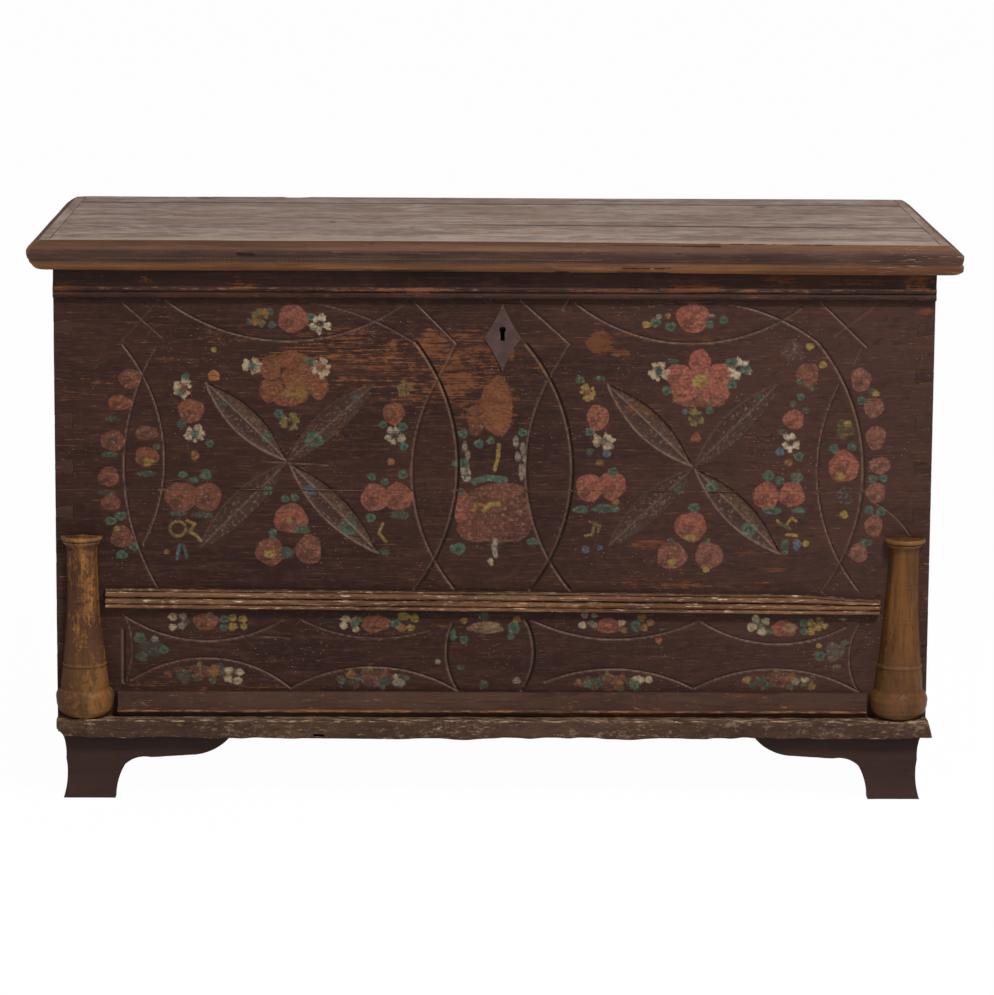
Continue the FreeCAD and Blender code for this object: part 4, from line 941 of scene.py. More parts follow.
CUTS = [
    (through((123, 345), (165, 458), (144, 545), 40), SCRIBE),
    (through((157, 348), (125, 457), (158, 587), 44), SCRIBE),
    (through((416, 343), (458, 465), (415, 590), 48), GOUGE),
    (straight((457, 344), (441, 376)), SCRIBE),
    (through((441, 376), (413, 466), (454, 588), 44), SOFT),
    (straight((570, 345), (552, 376)), SCRIBE),
    (through((552, 376), (526.5, 470), (570, 590), 44), SOFT),
    (through((527, 345), (572.5, 465), (530, 590), 48), GOUGE),
    (through((650, 306), (735, 305), (819, 343), 36), SCRIBE),
    (through((819, 343), (864, 470), (823, 592), 48), SOFT),
    (through((840, 385), (818, 467), (859, 591), 44), SCRIBE),
    (through((167, 301), (270, 340), (408, 301), 48), SCRIBE),
    (through((300, 301), (356, 314), (413, 342), 24), HAIR),
    (through((577, 304), (690, 343.5), (802, 308), 44), SCRIBE),
    (straight((122, 302), (164, 339)), HAIR),
    (straight((160, 300), (123, 341)), HAIR),
    (straight((415, 302), (457, 344)), SCRIBE),
    (straight((522, 301), (570, 344)), SCRIBE),
    (straight((570, 300), (564, 310), 3), SCRIBE),
    (straight((822, 303), (867, 347)), SCRIBE),
    (straight((863, 348), (855, 365), 4), HAIR),
    (straight((879, 304), (835, 336)), HAIR),
    (through((871, 501), (893, 515), (910, 535), 10), HAIR),
    (straight((262, 461), (328, 465), 8), HAIR),
    (through((124, 615), (194, 640), (284, 619)), SCRIBE),
    (through((302, 620), (371, 638), (430, 630)), HAIR),
    (through((532, 620), (606, 639), (698, 621)), SCRIBE),
    (through((699, 620), (762, 643), (846, 627)), SCRIBE),
    (through((132, 680), (198, 658), (291, 688)), SCRIBE),
    (through((291, 688), (371, 667), (458, 691)), SCRIBE),
    (through((545, 682), (617, 669), (692, 688)), SCRIBE),
    (through((695, 688), (778, 669), (859, 692)), SCRIBE),
    (through((453, 624), (447, 655), (458, 690)), SOFT),
    (through((526, 621), (534, 653), (522, 691)), GOUGE),
    (through((861, 624), (850, 655), (859, 692)), SCRIBE),
    (through((127, 618), (133, 645), (127, 680)), HAIR),
    (straight((124, 630), (124, 682), 10), SOFT),
    (straight((240, 635), (290, 638), 8), HAIR),
]
# Each leaf: where it starts, its tip, how much of it is left
LEAVES = [((288, 462), tip, left) for tip, left in (
    ((206, 383), 1.0), ((374, 385), 0.35), ((378, 553), 1.0), ((200, 548), 0.45))]
LEAVES += [((694, 468), tip, left) for tip, left in (
    ((608, 385), 1.0), ((778, 385), 0.35), ((780, 554), 1.0), ((609, 546), 0.35))]
LEAF_HALF, LEAF_DEPTH, LEAF_START = 18.5 * MM, 4.2 * MM, 0.02


def leaf_lines(centre, tip, steps=22):
    """The outline and the vein of one carved leaf."""
    a, b = np.array(on_front(*centre)), np.array(on_front(*tip))
    a = a + (b - a) * LEAF_START
    side = np.array([-(b - a)[1], (b - a)[0]]) / np.linalg.norm(b - a)
    lines = []
    for way in (-1, 0, 1):
        shares = np.linspace(0, 1, steps + 1)
        bulge = LEAF_HALF * np.sin(math.pi * shares) ** 0.85 * way
        lines.append([tuple(a + (b - a) * s + side * w) for s, w in zip(shares, bulge)])
    return lines


LEAF_LINES = [leaf_lines(start, tip) for start, tip, _ in LEAVES]


# How far from a line its distance is worked out, and what stands for any distance beyond that
LINE_REACH, FAR = 8 * MM, 1.0


def near_line(points, line):
    """Distance from each (x, z) to a polyline, and how far it lies on the shaded side."""
    line = np.array(line)
    best, lean = np.full(len(points), FAR), np.zeros(len(points))
    low, high = line.min(axis=0) - LINE_REACH, line.max(axis=0) + LINE_REACH
    near = np.where(np.all((points > low) & (points < high), axis=1))[0]
    spots = points[near]
    found, side = np.full(len(near), FAR), np.zeros(len(near))
    for a, b in zip(line, line[1:]):
        step = b - a
        t = np.clip((spots - a) @ step / (step @ step), 0, 1)
        gap = spots - a - t[:, None] * step
        far = np.hypot(gap[:, 0], gap[:, 1])
        nearer = far < found
        found = np.where(nearer, far, found)
        side = np.where(nearer, gap @ SHADED, side)
    best[near], lean[near] = found, side
    return best, lean


def carve(points):
    """At each (x, z): depth of the carving, the painted shade of its shaded wall, and the painted
    highlight, with rubbing, of its lit wall.
    """
    depth, groove, score = (np.zeros(len(points)) for _ in range(3))
    stir = np.column_stack([points[:, 0], points[:, 0] * 0, points[:, 1]])
    uneven = 0.82 + 0.3 * ripple(stir, (0.035, 1, 0.035), 5)
    for line, (width, deep, dark, light) in CUTS:
        gap, lean = near_line(points, line)
        half = width / 2
        share = np.clip(1 - gap / half, 0, 1)
        depth = np.maximum(depth, deep * share * uneven)
        turned = np.clip(lean / half * 1.8, -1, 1)
        inner = smooth((1.12 - gap / half) * 2.4)
        # Painted shade on the shaded wall and the core, painted highlight with rubbing on the lit
        # wall
        groove = np.maximum(groove, dark * inner * np.clip(0.55 + turned, 0, 1))
        score = np.maximum(score, light * inner * np.clip(0.25 - turned * 1.2, 0, 1)
                           * (0.7 + 0.5 * uneven * share))
    for (_, _, left), lines in zip(LEAVES, LEAF_LINES):
        a, b = np.array(lines[1][0]), np.array(lines[1][-1])
        axis = (b - a) / np.linalg.norm(b - a)
        side = np.array([-axis[1], axis[0]])
        share = (points - a) @ axis / np.linalg.norm(b - a)
        half = LEAF_HALF * np.sin(math.pi * np.clip(share, 0, 1)) ** 0.85
        off = (points - a) @ side
        t = np.abs(off) / np.maximum(half, 1e-6)
        within = (share > 0) & (share < 1) & (t < 1)
        scoop = LEAF_DEPTH * (0.5 + 0.5 * left) * np.sin(math.pi * np.clip(share, 0, 1)) ** 0.5
        depth[within] = np.maximum(depth[within], (scoop * (1 - t ** 4))[within])
        vein = np.clip(1 - np.abs(off) / (1.7 * MM), 0, 1) * within
        depth -= vein * 0.9 * MM
        seen = 0.45 + 0.55 * left
        score = np.where(within, np.maximum(score * 0.25, vein * 0.65 * seen), score)
        groove = np.where(within & (depth > 1 * MM), groove * 0.3, groove)
        # Painted shade along the leaf's edge on the shaded side, painted highlight along its edge
        # on the lit side
        for way in (0, 2):
            gap, _ = near_line(points, lines[way])
            outward = side * (way - 1)
            shaded = float(outward @ SHADED)
            if shaded > 0:
                line = np.clip(1.15 - gap / (3.0 * MM), 0, 1) * within
                groove = np.maximum(groove, line * (0.42 + 0.42 * shaded) * seen)
            else:
                line = np.clip(1.2 - gap / (1.5 * MM), 0, 1)
                score = np.maximum(score, line * (0.32 - 0.42 * shaded) * seen)
    return depth, groove, score


class Canvas:
    """Paint laid on points of the front: a colour, and a field that is 0.5 on its outline."""

    RAMP = 5 * MM

    def __init__(self, points):
        self.points = points
        self.colour = np.tile(linear(INK_BASE), (len(points), 1))
        self.field = np.zeros(len(points))
        self.count = 0

    def lay(self, near, inside, shade, cover=1.0):
        """Lays paint where inside, a distance from its outline, is above zero."""
        share = np.clip(0.5 + inside / self.RAMP, 0, 1)
        shade = shade * cover + np.array(linear(INK_BASE)) * (1 - cover)
        weight = np.where(self.field[near] < 0.3, share > 0, smooth(share * 2.2 - 0.6))[:, None]
        self.colour[near] = self.colour[near] * (1 - weight) + shade * weight
        self.field[near] = np.maximum(self.field[near], share)

    def dab(self, px, py, rx, ry=None, tone="coral", turn=0, cover=0.95, wobble=0.08, light=1.0):
        """One rounded touch of the brush; sizes in photograph pixels, turn in degrees."""
        self.count += 1
        seed = self.count * 2.399
        ry = rx if ry is None else ry
        x, z = on_front(px, py)
        reach = max(rx, ry) * PIXEL * 1.3 + self.RAMP / 2
        gap = self.points - (x, z)
        near = np.where(np.abs(gap).max(axis=1) < reach)[0]
        if not len(near):
            return
        c, s = math.cos(math.radians(turn)), math.sin(math.radians(turn))
        u = (gap[near] @ (c, s)) / (rx * PIXEL)
        v = (gap[near] @ (-s, c)) / (ry * PIXEL)
        angle, far = np.arctan2(v, u), np.hypot(u, v)
        edge = 1 + wobble * (np.sin(3 * angle + seed) + 0.6 * np.sin(5 * angle + seed * 2.3)) / 1.6
        inside = (edge - far) * min(rx, ry) * PIXEL
        shade = TONES[tone] * light
        swirl = np.sin(far * 6 + angle * 2 + seed) * 0.5 + 0.5
        shade = shade * (0.84 + 0.26 * swirl[:, None] * np.clip(1.25 - far, 0, 1)[:, None])
        self.lay(near, inside, shade, cover)

    def stroke(self, spots, width, tone, cover=0.9):
        """A drawn line of paint through photograph pixels."""
        gap, _ = near_line(self.points, [on_front(*spot) for spot in spots])
        half = width * PIXEL / 2
        near = np.where(gap < half + self.RAMP / 2)[0]
        self.lay(near, half - gap[near], TONES[tone], cover)


TONES = {tone: np.array(linear(text)) for tone, text in {
    "main": "864a3b", "coral": "7d4636", "coral left": "764334", "pair": "673c2c",
    "dusty": "6e4336", "chain left": "63392b", "chain right": "704638", "dusk rose": "58372b",
    "ember": "6d3e29", "bare": "80482b", "blaze": "905833", "skirt": "6a4030", "brick": "5f362b",
    "pot": "583526", "pot dark": "503026", "lobe": "784434",
    "teal": "365343", "dull teal": "343f35", "deep teal": "24443b", "green": "465740",
    "blue": "475860", "cream": "9a876c", "white": "a89880", "grey": "857b69", "ash": "5f584e",
    "tan": "755c43", "yellow": "856e36", "ochre": "7c582c", "olive": "635a2f",
    "leaf": "4e382d", "leaf low": "35231e", "faint leaf": "3a2a24",
    "dusk": "4a342e", "plum": "372b2a", "shadow": "241615",
}.items()}
# Darker and paler folds of a rose: place, size, turn, light
FOLDS = (
    (-0.3, 0.35, 0.5, 0.3, 35, 0.68), (0.36, 0.1, 0.4, 0.24, 60, 1.4),
    (-0.12, -0.42, 0.5, 0.2, 10, 1.35), (0.05, 0.1, 0.26, 0.2, 0, 0.8),
)


def rose(canvas, px, py, rx, ry, tone="coral", cover=0.95):
    """A round painted rose: a body with darker and paler folds."""
    canvas.dab(px, py, rx, ry, tone, cover=cover)
    for dx, dy, sx, sy, turn, light in FOLDS:
        canvas.dab(px + rx * dx, py + ry * dy, rx * sx, ry * sy, tone, turn, cover * 0.8, 0.15,
                   light)


def ring_flower(canvas, px, py, rx, ry, tone, heart, petals=8):
    """Small touches of one colour round a darker heart."""
    for i in range(petals):
        angle = math.tau * (i + 0.3 * math.sin(i * 2.1 + px)) / petals
        size = 0.33 + 0.09 * math.sin(i * 1.7 + py)
        canvas.dab(px + rx * 0.72 * math.cos(angle), py - ry * 0.72 * math.sin(angle),
                   rx * size, ry * size * 0.85, tone, math.degrees(angle), 0.95, 0.25)
    canvas.dab(px, py, rx * 0.38, ry * 0.38, heart, 0, 0.9)


def touches(canvas, tone, spots, cover=0.9, ringed=False):
    """Small touches of one tone: place, half width and, where it differs, half height."""
    for px, py, rx, *ry in spots:
        ry = ry[0] if ry else rx * 0.9
        canvas.dab(px, py, rx, ry, tone, 0, cover, 0.14)
        if ringed and min(rx, ry) > 3.5:
            canvas.dab(px + 0.4, py + 0.5, rx * 0.4, ry * 0.4, "deep teal", 0, 0.6)


FADED = ("dusk rose", "olive", "dull teal", "ember", "green", "dusk rose", "dusk")


def faded(canvas, px, py, rx, ry, count=18):
    """A worn posy: small touches of dull tones spread over an oval."""
    for i in range(count):
        far, angle = math.sqrt((i + 0.5) / count), 2.4 * i
        canvas.dab(px + rx * far * math.cos(angle), py + ry * far * math.sin(angle), 4.4, 3.2,
                   FADED[i % len(FADED)], 30 * i, 0.6, 0.3)


def leaf_tint(canvas, lines, left):
    """The duller paint inside a carved leaf, with painted light and shade: the half towards the
    shaded side takes a paler tone than the other.
    """
    middle = np.array(lines[1])
    for way in (0, 2):
        edge = np.array(lines[way])
        # Painted light and shade: each half's tone is chosen by its side towards the light
        shaded = (edge - middle).mean(axis=0) @ SHADED > 0
        tone = ("leaf" if left > 0.6 else "faint leaf") if shaded else "leaf low"
        for share in (0.2, 0.45, 0.66):
            line = middle + (edge - middle) * share
            gap, _ = near_line(canvas.points, line[2:-2])
            near = np.where(gap < 7 * MM)[0]
            canvas.lay(near, 3.6 * MM - gap[near], TONES[tone], 0.85)


# Roses by tone: place, half width, half height
ROSES = (
    ("chain left", ((130, 379, 11, 10), (113, 441, 12, 10.5), (109, 477, 10.5, 10),
                    (111, 503, 10, 8), (122, 537, 11, 11))),
    ("dusk rose", ((147, 433, 12, 7),)),
    ("ember", ((120, 403, 12, 7.5), (147, 457, 12, 10), (191, 411, 13, 12),
               (394, 414, 11, 11))),
    ("pair", ((181, 497, 16, 15), (207, 497, 15, 14), (270, 552, 14, 14), (309, 550, 13, 15))),
    ("coral left", ((291, 519, 17, 15), (375, 498, 14, 14), (399, 497, 14, 14),
                    (293, 319, 15, 14))),
    ("coral", ((598, 418, 11, 13), (590, 488, 14, 14), (612, 486, 14, 14), (693, 318, 16, 15),
               (691, 527, 16, 15), (794, 420, 10.5, 10), (766, 496, 13, 13.5),
               (792, 495, 13, 13), (844, 467, 15, 16))),
    ("dusty", ((672, 556, 15, 14), (709, 556, 14, 14))),
    ("chain right", ((861, 380, 10, 12), (874, 408, 10, 10), (876, 438, 10, 12),
                     (880, 466, 11, 8.5), (876, 493, 10, 10), (874, 526, 9, 11),
                     (859, 553, 9, 10))),
)
# Ring flowers: place, half width, half height, petals, heart
RINGS = (
    (252, 366, 9, 9, "cream", "teal"), (320, 324, 11.5, 8.5, "white", "shadow"),
    (183, 388, 9.5, 10, "cream", "ember"), (195, 434, 9.5, 9.5, "cream", "teal"),
    (321, 368, 10, 10, "cream", "skirt"), (395, 436, 10, 8.5, "grey", "plum"),
    (659, 372, 9.5, 10.5, "cream", "deep teal"), (740, 369, 13, 8.5, "white", "shadow"),
    (791, 443, 9, 9, "white", "plum"), (604, 442, 10.5, 9, "cream", "green"),
    (588, 393, 8, 8.5, "yellow", "dusty"), (405, 389, 8, 8, "olive", "ember"),
    (290, 422, 9, 10, "olive", "shadow"), (260, 318, 9, 8, "olive", "dusk"),
    (696, 418, 8.5, 8.5, "olive", "plum"), (466, 474, 5, 9, "grey", "ash"),
)
# Small touches by tone: place, half width and, where it isn't 0.9 of that, half height
TEAL = (
    (206, 475, 6), (183, 475, 5, 3.4), (194, 480, 5, 3), (210, 444, 4), (186, 377, 4, 3.4),
    (181, 393, 3.4), (270, 312, 4), (272, 325, 4), (311, 317, 4), (310, 362, 5, 4),
    (279, 414, 5), (285, 499, 4.2), (295, 498, 4.2), (273, 534, 4, 5.5), (302, 530, 8, 4),
    (314, 440, 9), (267, 438, 6, 5), (268, 491, 5), (348, 527, 9), (383, 425, 4),
    (403, 427, 4.6), (404, 447, 4.6), (372, 477, 4.4), (385, 482, 4), (403, 475, 5),
    (371, 518, 5), (463, 434, 5), (463, 464, 6.5, 4.6), (455, 464, 3.4), (479, 444, 5),
    (491, 441, 4.2), (523, 433, 4.6), (461, 492, 4.2), (458, 549, 8, 6), (533, 542, 6.5, 3.6),
    (580, 380, 4.4), (590, 432, 4.6), (613, 472, 5), (581, 510, 8, 4), (606, 509, 14, 4.2),
    (656, 323, 5), (671, 327, 5.6, 4.6), (710, 325, 4.2), (724, 320, 4.6), (667, 391, 5),
    (732, 363, 6, 5), (746, 370, 5), (732, 385, 5), (710, 411, 4), (801, 397, 4),
    (799, 457, 5), (769, 476, 6), (780, 481, 4.6), (797, 478, 6.2), (772, 511, 10, 3.8),
    (799, 511, 7, 3.2), (785, 547, 4, 8.5), (834, 449, 5), (852, 447, 4.6), (862, 401, 4.8),
    (873, 479, 5, 4), (884, 479, 4), (869, 510, 5), (881, 512, 5, 4), (866, 543, 6.5, 3.6),
    (694, 508, 6, 4.6), (712, 487, 6), (749, 530, 8, 7), (111, 521, 6, 4), (121, 516, 6, 4.5),
    (134, 547, 4.8), (122, 555, 6, 4.4), (225, 619, 5, 4), (224, 628, 4), (396, 624, 5.5),
    (514, 628, 6, 7), (511, 637, 3.5), (453, 635, 3.5, 6), (464, 640, 4.5), (636, 626, 5, 6),
    (769, 632, 3.5), (804, 623, 4.5), (804, 632, 4), (140, 638, 6), (164, 650, 5),
    (820, 656, 5.5, 5),
)
DULL_TEAL = (
    (112, 419, 7, 2.6), (110, 455, 9, 3.2), (108, 493, 9, 2.6), (157, 447, 4),
    (146, 474, 10, 3), (178, 514, 9, 3), (203, 515, 10, 3.4), (182, 424, 5), (250, 322, 3.5),
    (224, 403, 6, 4), (357, 397, 6), (400, 515, 9, 5), (385, 552, 5), (287, 553, 7),
    (600, 379, 6, 2.8), (590, 452, 4), (673, 361, 6, 2.6), (800, 383, 4.2), (812, 389, 6, 2.2),
    (806, 411, 4), (783, 432, 4.6, 3), (871, 391, 4), (671, 541, 3.4), (708, 541, 3.4),
    (679, 490, 6, 5), (760, 398, 5), (186, 622, 4.5), (484, 616, 5), (461, 668, 4, 3),
    (484, 685, 5), (185, 677, 6), (342, 681, 5), (385, 682, 5), (598, 683, 5), (631, 683, 5),
    (753, 686, 4), (760, 681, 4), (766, 686, 4.5), (142, 657, 6), (221, 670, 3.5, 7),
)
POSY_BODIES = (
    ("ember", (206, 622, 13, 8.5), (375, 624.5, 14, 8.5)),
    ("coral", (609, 626, 12, 8), (784, 629, 12.5, 8.5)),
    ("tan", (486, 628, 18, 6)),
    ("dusk rose", (374, 679, 13, 8), (612, 683, 11, 8), (781, 680, 12, 8), (204, 672, 10, 6)),
)
CREAM = (
    (173, 617, 4.5), (173, 627.5, 4), (346, 619, 5, 3.5), (344, 626, 4), (356, 629.5, 3.5),
    (582.5, 625.5, 4), (622, 623, 4, 3), (756, 619, 4, 4.5), (766, 621.5, 4.2), (752, 627.5, 5),
    (762, 632, 4.5), (229, 670.5, 4.5, 3.5), (240, 672.5, 4), (229, 679.5, 4.5, 3.5),
    (238, 681, 4.5), (396, 676.5, 2.5), (636, 679.5, 4), (640, 680, 4.5), (649, 680, 4),
    (805, 680, 4, 2.5), (177, 386, 3.5, 4.5),
)
GREY = (
    (183, 616.5, 4), (182, 626, 4), (356, 619.5, 3.5), (585, 615.5, 3.5), (594.5, 616, 3),
    (594.5, 626, 3.5), (843, 619.5, 4, 1.6), (517, 681, 4), (796, 682, 4), (438, 662, 3),
    (516, 442, 3, 6), (523, 449, 2.6, 7), (518, 457, 3, 5), (525, 460, 2, 4),
    (522, 472, 3.5, 8), (465, 447, 2.6, 6), (468, 456, 2.4, 5), (155, 639, 3.5), (399, 683, 7, 4),
    (659, 317, 3), (711, 316, 5, 1.6),
)
YELLOW = (
    (233, 618, 4), (233, 627, 4.5), (243, 619, 4.5), (244, 627, 3.5), (404, 616.5, 6, 4),
    (415, 618.5, 4.5), (411, 628, 4), (811, 623, 4), (811, 631.5, 4.5), (820, 621, 4),
    (818, 628, 4), (825, 626, 3.6), (819, 646, 3), (214, 350, 3), (148, 462, 5, 4),
    (117, 529, 3), (672, 563, 4), (706, 570, 3.5), (844, 515, 4.5), (810, 347, 4),
    (823, 365, 4), (848, 424, 3.6), (647, 325, 5, 3.5), (876, 394, 4, 3), (806, 544, 3.6),
    (840, 476, 4.5), (690, 538, 6, 3.6), (270, 554, 6, 4), (290, 521, 3.6), (747, 680, 4),
)
OCHRE = (
    (402, 628, 4.5), (624, 630.5, 3.5), (464, 621, 3.5), (517, 620, 4), (214, 671, 6),
    (620, 683, 3.5), (790, 678, 4.5), (642, 618, 4.4), (651, 623, 4), (644, 628, 4),
    (391, 462, 4), (600, 463, 4, 3), (789, 463, 4), (195, 456, 4, 5), (616, 502, 4, 3),
    (668, 316, 3), (167, 552, 3), (579, 682, 3), (812, 687, 4), (351, 675, 5),
    (255, 322, 4), (265, 312, 4), (297, 392, 12, 10),
)
GREEN = (
    (354.5, 624, 4.5), (360, 619.5, 3), (591, 623.5, 3.5), (761, 625.5, 4), (588, 684, 5),
    (635, 685, 5), (845, 643, 4, 2.5), (837, 667, 5, 2.5), (793, 404, 3.6), (407, 678, 3),
)
BLUE = (
    (310, 490, 6), (607, 454, 4.4), (780, 452, 4.4), (586, 550, 4), (600, 548, 3),
    (685, 412, 3), (797, 545, 4, 6),
)


def paint(canvas):
    """Everything painted on the front, back to front."""
    for (_, _, left), lines in zip(LEAVES, LEAF_LINES):
        leaf_tint(canvas, lines, left)
    # the rubbed flower on the left, the bare patch in the middle
    for px, py, rx, ry in ((292, 359, 16, 8), (270, 368, 12, 12), (271, 391, 12, 11),
                           (300, 374, 17, 14), (318, 388, 11, 11), (290, 398, 16, 9)):
        canvas.dab(px, py, rx, ry, "bare", 0, 0.6, 0.14)
    for dab in (
            (497, 407, 16, 30, "bare", 0, 0.6, 0.08),
            (476, 420, 9, 16, "ember", 0, 0.5, 0.1),
            (214, 376, 6, 5.5, "blaze", 0, 0.95, 0.1)):
        canvas.dab(*dab)
    for tone, spots in ROSES:
        for spot in spots:
            rose(canvas, *spot, tone)
    # the large flower on the right
    canvas.dab(700, 401, 26, 7, "skirt", 0, 0.9, 0.1)
    for px, py, rx, ry in ((678, 376, 13, 12), (721, 376, 12, 13), (684, 391, 13, 11),
                           (716, 392, 13, 11), (700, 361, 11, 11), (700, 380, 16, 14)):
        canvas.dab(px, py, rx, ry, "main", 0, 0.97, 0.08)
        canvas.dab(px + 2, py - 3, rx * 0.6, ry * 0.2, "main", 10, 0.7, 0.2, 1.35)
        canvas.dab(px - 3, py + 4, rx * 0.5, ry * 0.2, "main", -20, 0.7, 0.2, 0.7)
    canvas.dab(700, 382, 8, 7, "yellow", 0, 0.95)
    canvas.dab(704, 385, 4, 3, "ochre", 0, 0.9)
    # the pot of flowers in the middle
    for dab in (
            (495, 514, 38, 30, "pot", 0, 0.92, 0.05),
            (503, 491, 22, 8, "skirt", 0, 0.8, 0.1),
            (463, 507, 9, 17, "lobe", 0, 0.8, 0.12),
            (475, 530, 17, 13, "brick", 0, 0.95, 0.1),
            (517, 521, 16, 21, "pot dark", 0, 0.9, 0.1),
            (501, 531, 11, 9, "brick", 30, 0.8, 0.2)):
        canvas.dab(*dab)
    canvas.stroke(((474, 511), (477, 504), (484, 506)), 4, "ochre", 0.9)
    canvas.stroke(((484, 511), (491, 504), (499, 504)), 4.5, "yellow", 0.85)
    for px, py in ((505, 508), (512, 503), (520, 512), (524, 524), (511, 520), (470, 524)):
        canvas.dab(px, py, 2.4, 1.8, "dusty", 0, 0.8, 0.2, 1.5)
    canvas.dab(497, 546, 9, 4, "shadow", 0, 0.7)
    # the dark vase above the lower leaf and the faded flowers
    for dab in (
            (793, 352, 12, 11, "dusk", 0, 0.7, 0.2),
            (808, 375, 11, 12, "skirt", 0, 0.85, 0.12),
            (845, 430, 9, 10, "olive", 0, 0.35, 0.2),
            (845, 497, 9, 10, "plum", 0, 0.9, 0.15),
            (113, 441, 4.5, 4, "plum", 0, 0.8, 0.2),
            (207, 499, 6, 5, "skirt", 0, 0.6, 0.2, 0.6),
            (152, 648, 11, 9, "dull teal", 0, 0.5, 0.2),
            (835, 652, 9.5, 9.5, "ash", 0, 0.45, 0.2)):
        canvas.dab(*dab)
    for spot in ((204, 674, 36, 9), (374, 679, 34, 10), (612, 683, 34, 8), (781, 681, 36, 8)):
        faded(canvas, *spot)
    for tone, *spots in POSY_BODIES:
        for px, py, rx, ry in spots:
            canvas.dab(px, py, rx, ry, tone, 0, 0.85, 0.12)
            canvas.dab(px + rx * 0.3, py - ry * 0.2, rx * 0.4, ry * 0.3, tone, 20, 0.7, 0.2, 1.4)
            canvas.dab(px - rx * 0.2, py + ry * 0.4, rx * 0.4, ry * 0.25, tone, -10, 0.7, 0.2, 0.7)
    for dab in (
            (380, 620, 9, 4, "main", 0, 0.7, 0.2),
            (616, 627, 4, 5, "brick", 0, 0.9, 0.2),
            (791, 628, 6, 4.5, "tan", 0, 0.9, 0.3, 1.2),
            (210, 616, 5, 3.5, "tan", 0, 0.9, 0.2),
            (659, 641, 3.5, 3.5, "coral", 0, 0.9, 0.3)):
        canvas.dab(*dab)
    for px, py, rx, ry, tone, heart in RINGS:
        ring_flower(canvas, px, py, rx, ry, tone, heart)
    touches(canvas, "dull teal", DULL_TEAL, 0.85)
    touches(canvas, "teal", TEAL, 0.92, True)
    touches(canvas, "cream", CREAM, 0.92)
    touches(canvas, "grey", GREY, 0.6)
    touches(canvas, "yellow", YELLOW, 0.85)
    touches(canvas, "ochre", OCHRE, 0.75)
    touches(canvas, "green", GREEN, 0.8)
    touches(canvas, "blue", BLUE, 0.8)
    canvas.dab(696, 438, 5, 5, "ember", 0, 0.8, 0.3, 1.3)
    for stroke in (
            (((474, 482), (488, 478), (505, 480)), 6.5, "teal", 0.85),
            (((499, 445), (498, 458), (495, 470)), 4, "yellow", 0.75),
            (((496, 541), (494, 548), (496, 556)), 5, "grey", 0.8)):
        canvas.stroke(*stroke)
    canvas.dab(491, 562, 2.6, 4, "cream", 20, 0.9, 0.2)
    # scrolls and small stems under the pairs
    ring = [(178 + 8 * math.cos(a), 529 + 7.5 * math.sin(a)) for a in np.linspace(0, 5.8, 14)]
    for stroke in (
            (ring, 2.8, "olive", 0.9),
            (((187, 521), (195, 524), (190, 532), (197, 536), (201, 541)), 3, "yellow", 0.7),
            (((180, 545), (177, 559)), 3, "blue", 0.8),
            (((184, 545), (187, 558)), 3, "teal", 0.7),
            (((383, 524), (379, 533), (386, 542)), 3, "yellow", 0.6),
            (((585, 536), (592, 535), (594, 528)), 2.4, "yellow", 0.7),
            (((590, 522), (600, 526), (598, 532)), 3, "olive", 0.6),
            (((777, 521), (785, 527), (792, 518), (797, 522)), 2.6, "yellow", 0.7),
            (((787, 535), (797, 536)), 3, "yellow", 0.85),
            (((780, 524), (790, 529)), 3.4, "green", 0.7)):
        canvas.stroke(*stroke)


# Rubbed patches of the front: place, half width, half height, how bare
RUBS = (
    (290, 380, 34, 30, 0.55), (300, 345, 60, 10, 0.30), (230, 335, 34, 12, 0.40),
    (370, 350, 34, 18, 0.42), (390, 352, 12, 12, 0.8), (360, 385, 26, 20, 0.45),
    (420, 385, 40, 36, 0.45), (432, 345, 22, 16, 0.9), (455, 375, 34, 34, 0.8),
    (345, 362, 95, 46, 0.52), (475, 360, 50, 50, 0.50), (330, 430, 40, 12, 0.35),
    (497, 408, 22, 34, 0.9), (470, 410, 18, 26, 0.45), (511, 354, 6, 8, 1.0),
    (600, 342, 14, 14, 1.15), (622, 354, 12, 6, 0.9), (545, 375, 26, 14, 0.35),
    (640, 410, 24, 8, 0.5), (652, 545, 28, 6, 0.8), (775, 570, 22, 4, 0.7),
    (750, 553, 24, 5, 0.5), (87, 400, 34, 48, 0.22), (160, 320, 50, 12, 0.22),
    (925, 312, 12, 5, 0.7), (928, 598, 8, 10, 0.4), (560, 580, 330, 6, 0.34),
    (690, 586, 60, 4, 0.7), (180, 688, 120, 9, 0.40), (165, 685, 30, 8, 0.6),
    (145, 345, 30, 8, 0.3), (180, 360, 30, 6, 0.4), (70, 700, 16, 50, 0.35),
    (70, 585, 14, 40, 0.3), (925, 480, 10, 150, 0.04), (480, 660, 40, 20, 0.15),
    (690, 341, 40, 4, 0.7), (625, 333, 20, 4, 0.6),
    (144, 280, 15, 5, 0.95), (243, 283, 17, 9, 0.75), (408, 290, 40, 3, 0.8),
    (412, 277, 9, 3, 0.6), (62, 284, 8, 8, 0.65), (603, 291, 44, 3, 0.65),
    (695, 287, 32, 6, 0.8), (784, 279, 26, 5, 0.6), (852, 281, 30, 4, 0.65),
    (915, 282, 17, 9, 0.75), (135, 702, 20, 8, 0.5), (300, 709, 170, 4, 0.5),
    (600, 712, 200, 4, 0.45),
)


def rubbing(points):
    """How bare each (x, z) of the front is, from the listed patches."""
    worn = np.zeros(len(points))
    for px, py, rx, ry, strength in RUBS:
        gap = (points - on_front(px, py)) / (rx * PIXEL, ry * PIXEL)
        far = np.hypot(gap[:, 0], gap[:, 1])
        worn = np.maximum(worn, strength * smooth(1.35 - far))
    return worn


